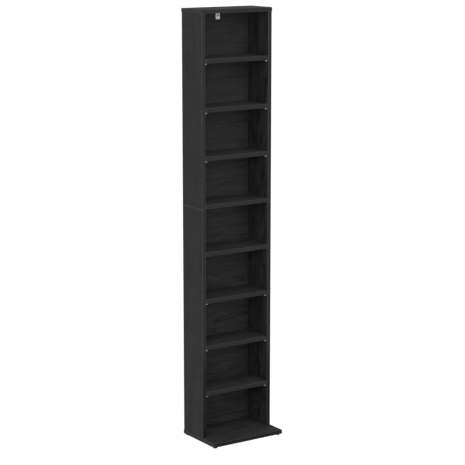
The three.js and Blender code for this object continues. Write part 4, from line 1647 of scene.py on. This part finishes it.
def dress_hardware(zinc: bpy.types.Material) -> None:
    """Gives the nodes that stay, the cam discs, their bolts and the base screws, their metal.

    Args:
        zinc: Their finish.
    """
    for kind, (side, end) in product(("cam_disc", "cam_bolt", "base_screw"), CORNERS):
        node = bpy.data.objects[f"{kind}_{side.word}_{end}"]
        for slot in node.material_slots:
            slot.material = zinc
        log.info("%s keeps its shape, in zinc", node.name)


# The studio


@dataclass(frozen=True)
class SoftLight:
    """A large soft lamp that faces a place on the tower."""

    name: str
    place: tuple[float, float, float]
    size: float
    power: float
    target: tuple[float, float, float] = (0.0, 0.0, 0.8)

    def build(self) -> None:
        """Makes the lamp."""
        data = bpy.data.lights.new(self.name, "AREA")
        data.shape = "RECTANGLE"
        data.size = data.size_y = self.size
        data.energy = self.power
        lamp = bpy.data.objects.new(self.name, data)
        lamp.location = self.place
        aim = Vector(self.target) - Vector(self.place)
        lamp.rotation_euler = aim.to_track_quat("-Z", "Y").to_euler()
        bpy.context.scene.collection.objects.link(lamp)


@dataclass
class Studio:
    """Pale floor, soft lamps, pale surround and the camera."""

    camera_place: tuple[float, float, float] = (-3.1517, -4.7053, 1.8688)
    camera_yaw: float = 33.80
    camera_pitch: float = 11.06
    lens: float = 123.87
    sensor: float = 36.0
    floor_half_width: float = 70.0
    floor_cells: int = 8
    floor_shade: float = 0.55
    floor_roughness: float = 0.9
    floor_white: float = 1.12
    floor_shadow_share: float = 0.06
    surround: float = 0.61
    lights: tuple[SoftLight, ...] = (
        SoftLight("front_left_lamp", (-2.8, -3.4, 1.9), 2.6, 82.0),
        SoftLight("front_lamp", (0.2, -4.6, 2.0), 2.6, 26.0),
        SoftLight("top_lamp", (0.0, -2.6, 4.2), 2.4, 85.0),
    )

    def build(self) -> None:
        """Makes the studio."""
        bpy.context.scene.view_settings.view_transform = "Standard"
        self.camera()
        self.floor()
        self.world()
        for light in self.lights:
            light.build()

    def camera(self) -> None:
        """The camera, at the photograph's viewing angle."""
        data = bpy.data.cameras.new("camera")
        data.sensor_width = self.sensor
        data.lens = self.lens
        camera = bpy.data.objects.new("camera", data)
        camera.location = self.camera_place
        camera.rotation_euler = (math.radians(90 - self.camera_pitch), 0.0, -math.radians(self.camera_yaw))
        bpy.context.scene.collection.objects.link(camera)
        bpy.context.scene.camera = camera

    def floor(self) -> None:
        """A wide floor, near white to the camera with a faint shadow on it."""
        mesh = bmesh.new()
        cells = self.floor_cells
        bmesh.ops.create_grid(mesh, x_segments=cells, y_segments=cells, size=self.floor_half_width)
        data = bpy.data.meshes.new("studio_floor")
        mesh.to_mesh(data)
        mesh.free()
        build = MaterialBuilder("pale_floor")
        build.set(Roughness=self.floor_roughness, Specular_IOR_Level=0.0, Base_Color=grey(self.floor_shade))
        glow = build.node("ShaderNodeEmission", strength=self.floor_white)
        seen = build.add("ShaderNodeLightPath")["Is Camera Ray"]
        share = build.math("MULTIPLY", seen, 1.0 - self.floor_shadow_share)
        mixed = build.add("ShaderNodeMixShader", {0: share, 1: build.surface.outputs[0], 2: glow})[0]
        build.feed(build.tree.nodes["Material Output"].inputs["Surface"], mixed)
        data.materials.append(build.material)
        floor = new_piece("studio_floor", data)

    def world(self) -> None:
        """A surround that is dim to the tower and white to the camera."""
        world = bpy.data.worlds.new("surround")
        bpy.context.scene.world = world
        world.use_nodes = True
        world.node_tree.nodes.clear()
        build = TreeBuilder(world.node_tree)
        seen = build.add("ShaderNodeLightPath")["Is Camera Ray"]
        strength = build.mix(seen, self.surround, 1.0)
        light = build.node("ShaderNodeBackground", color=grey(1.0), strength=strength)
        build.add("ShaderNodeOutputWorld", {"Surface": light})


def main() -> None:
    """Builds the tower's pieces, then the studio."""
    logging.basicConfig(level=logging.INFO, format="%(name)s: %(message)s")
    groups = ShaderGroups()
    workshop = Workshop({look: look.material(groups) for look in Look})
    for assembly in (Carcass, Shelving, Dowels, SmallFixings, AntiTipBracket):
        assembly(workshop).build()
    dress_hardware(workshop.materials[Look.DULL_ZINC])
    Studio().build()


if __name__ == "__main__":
    main()
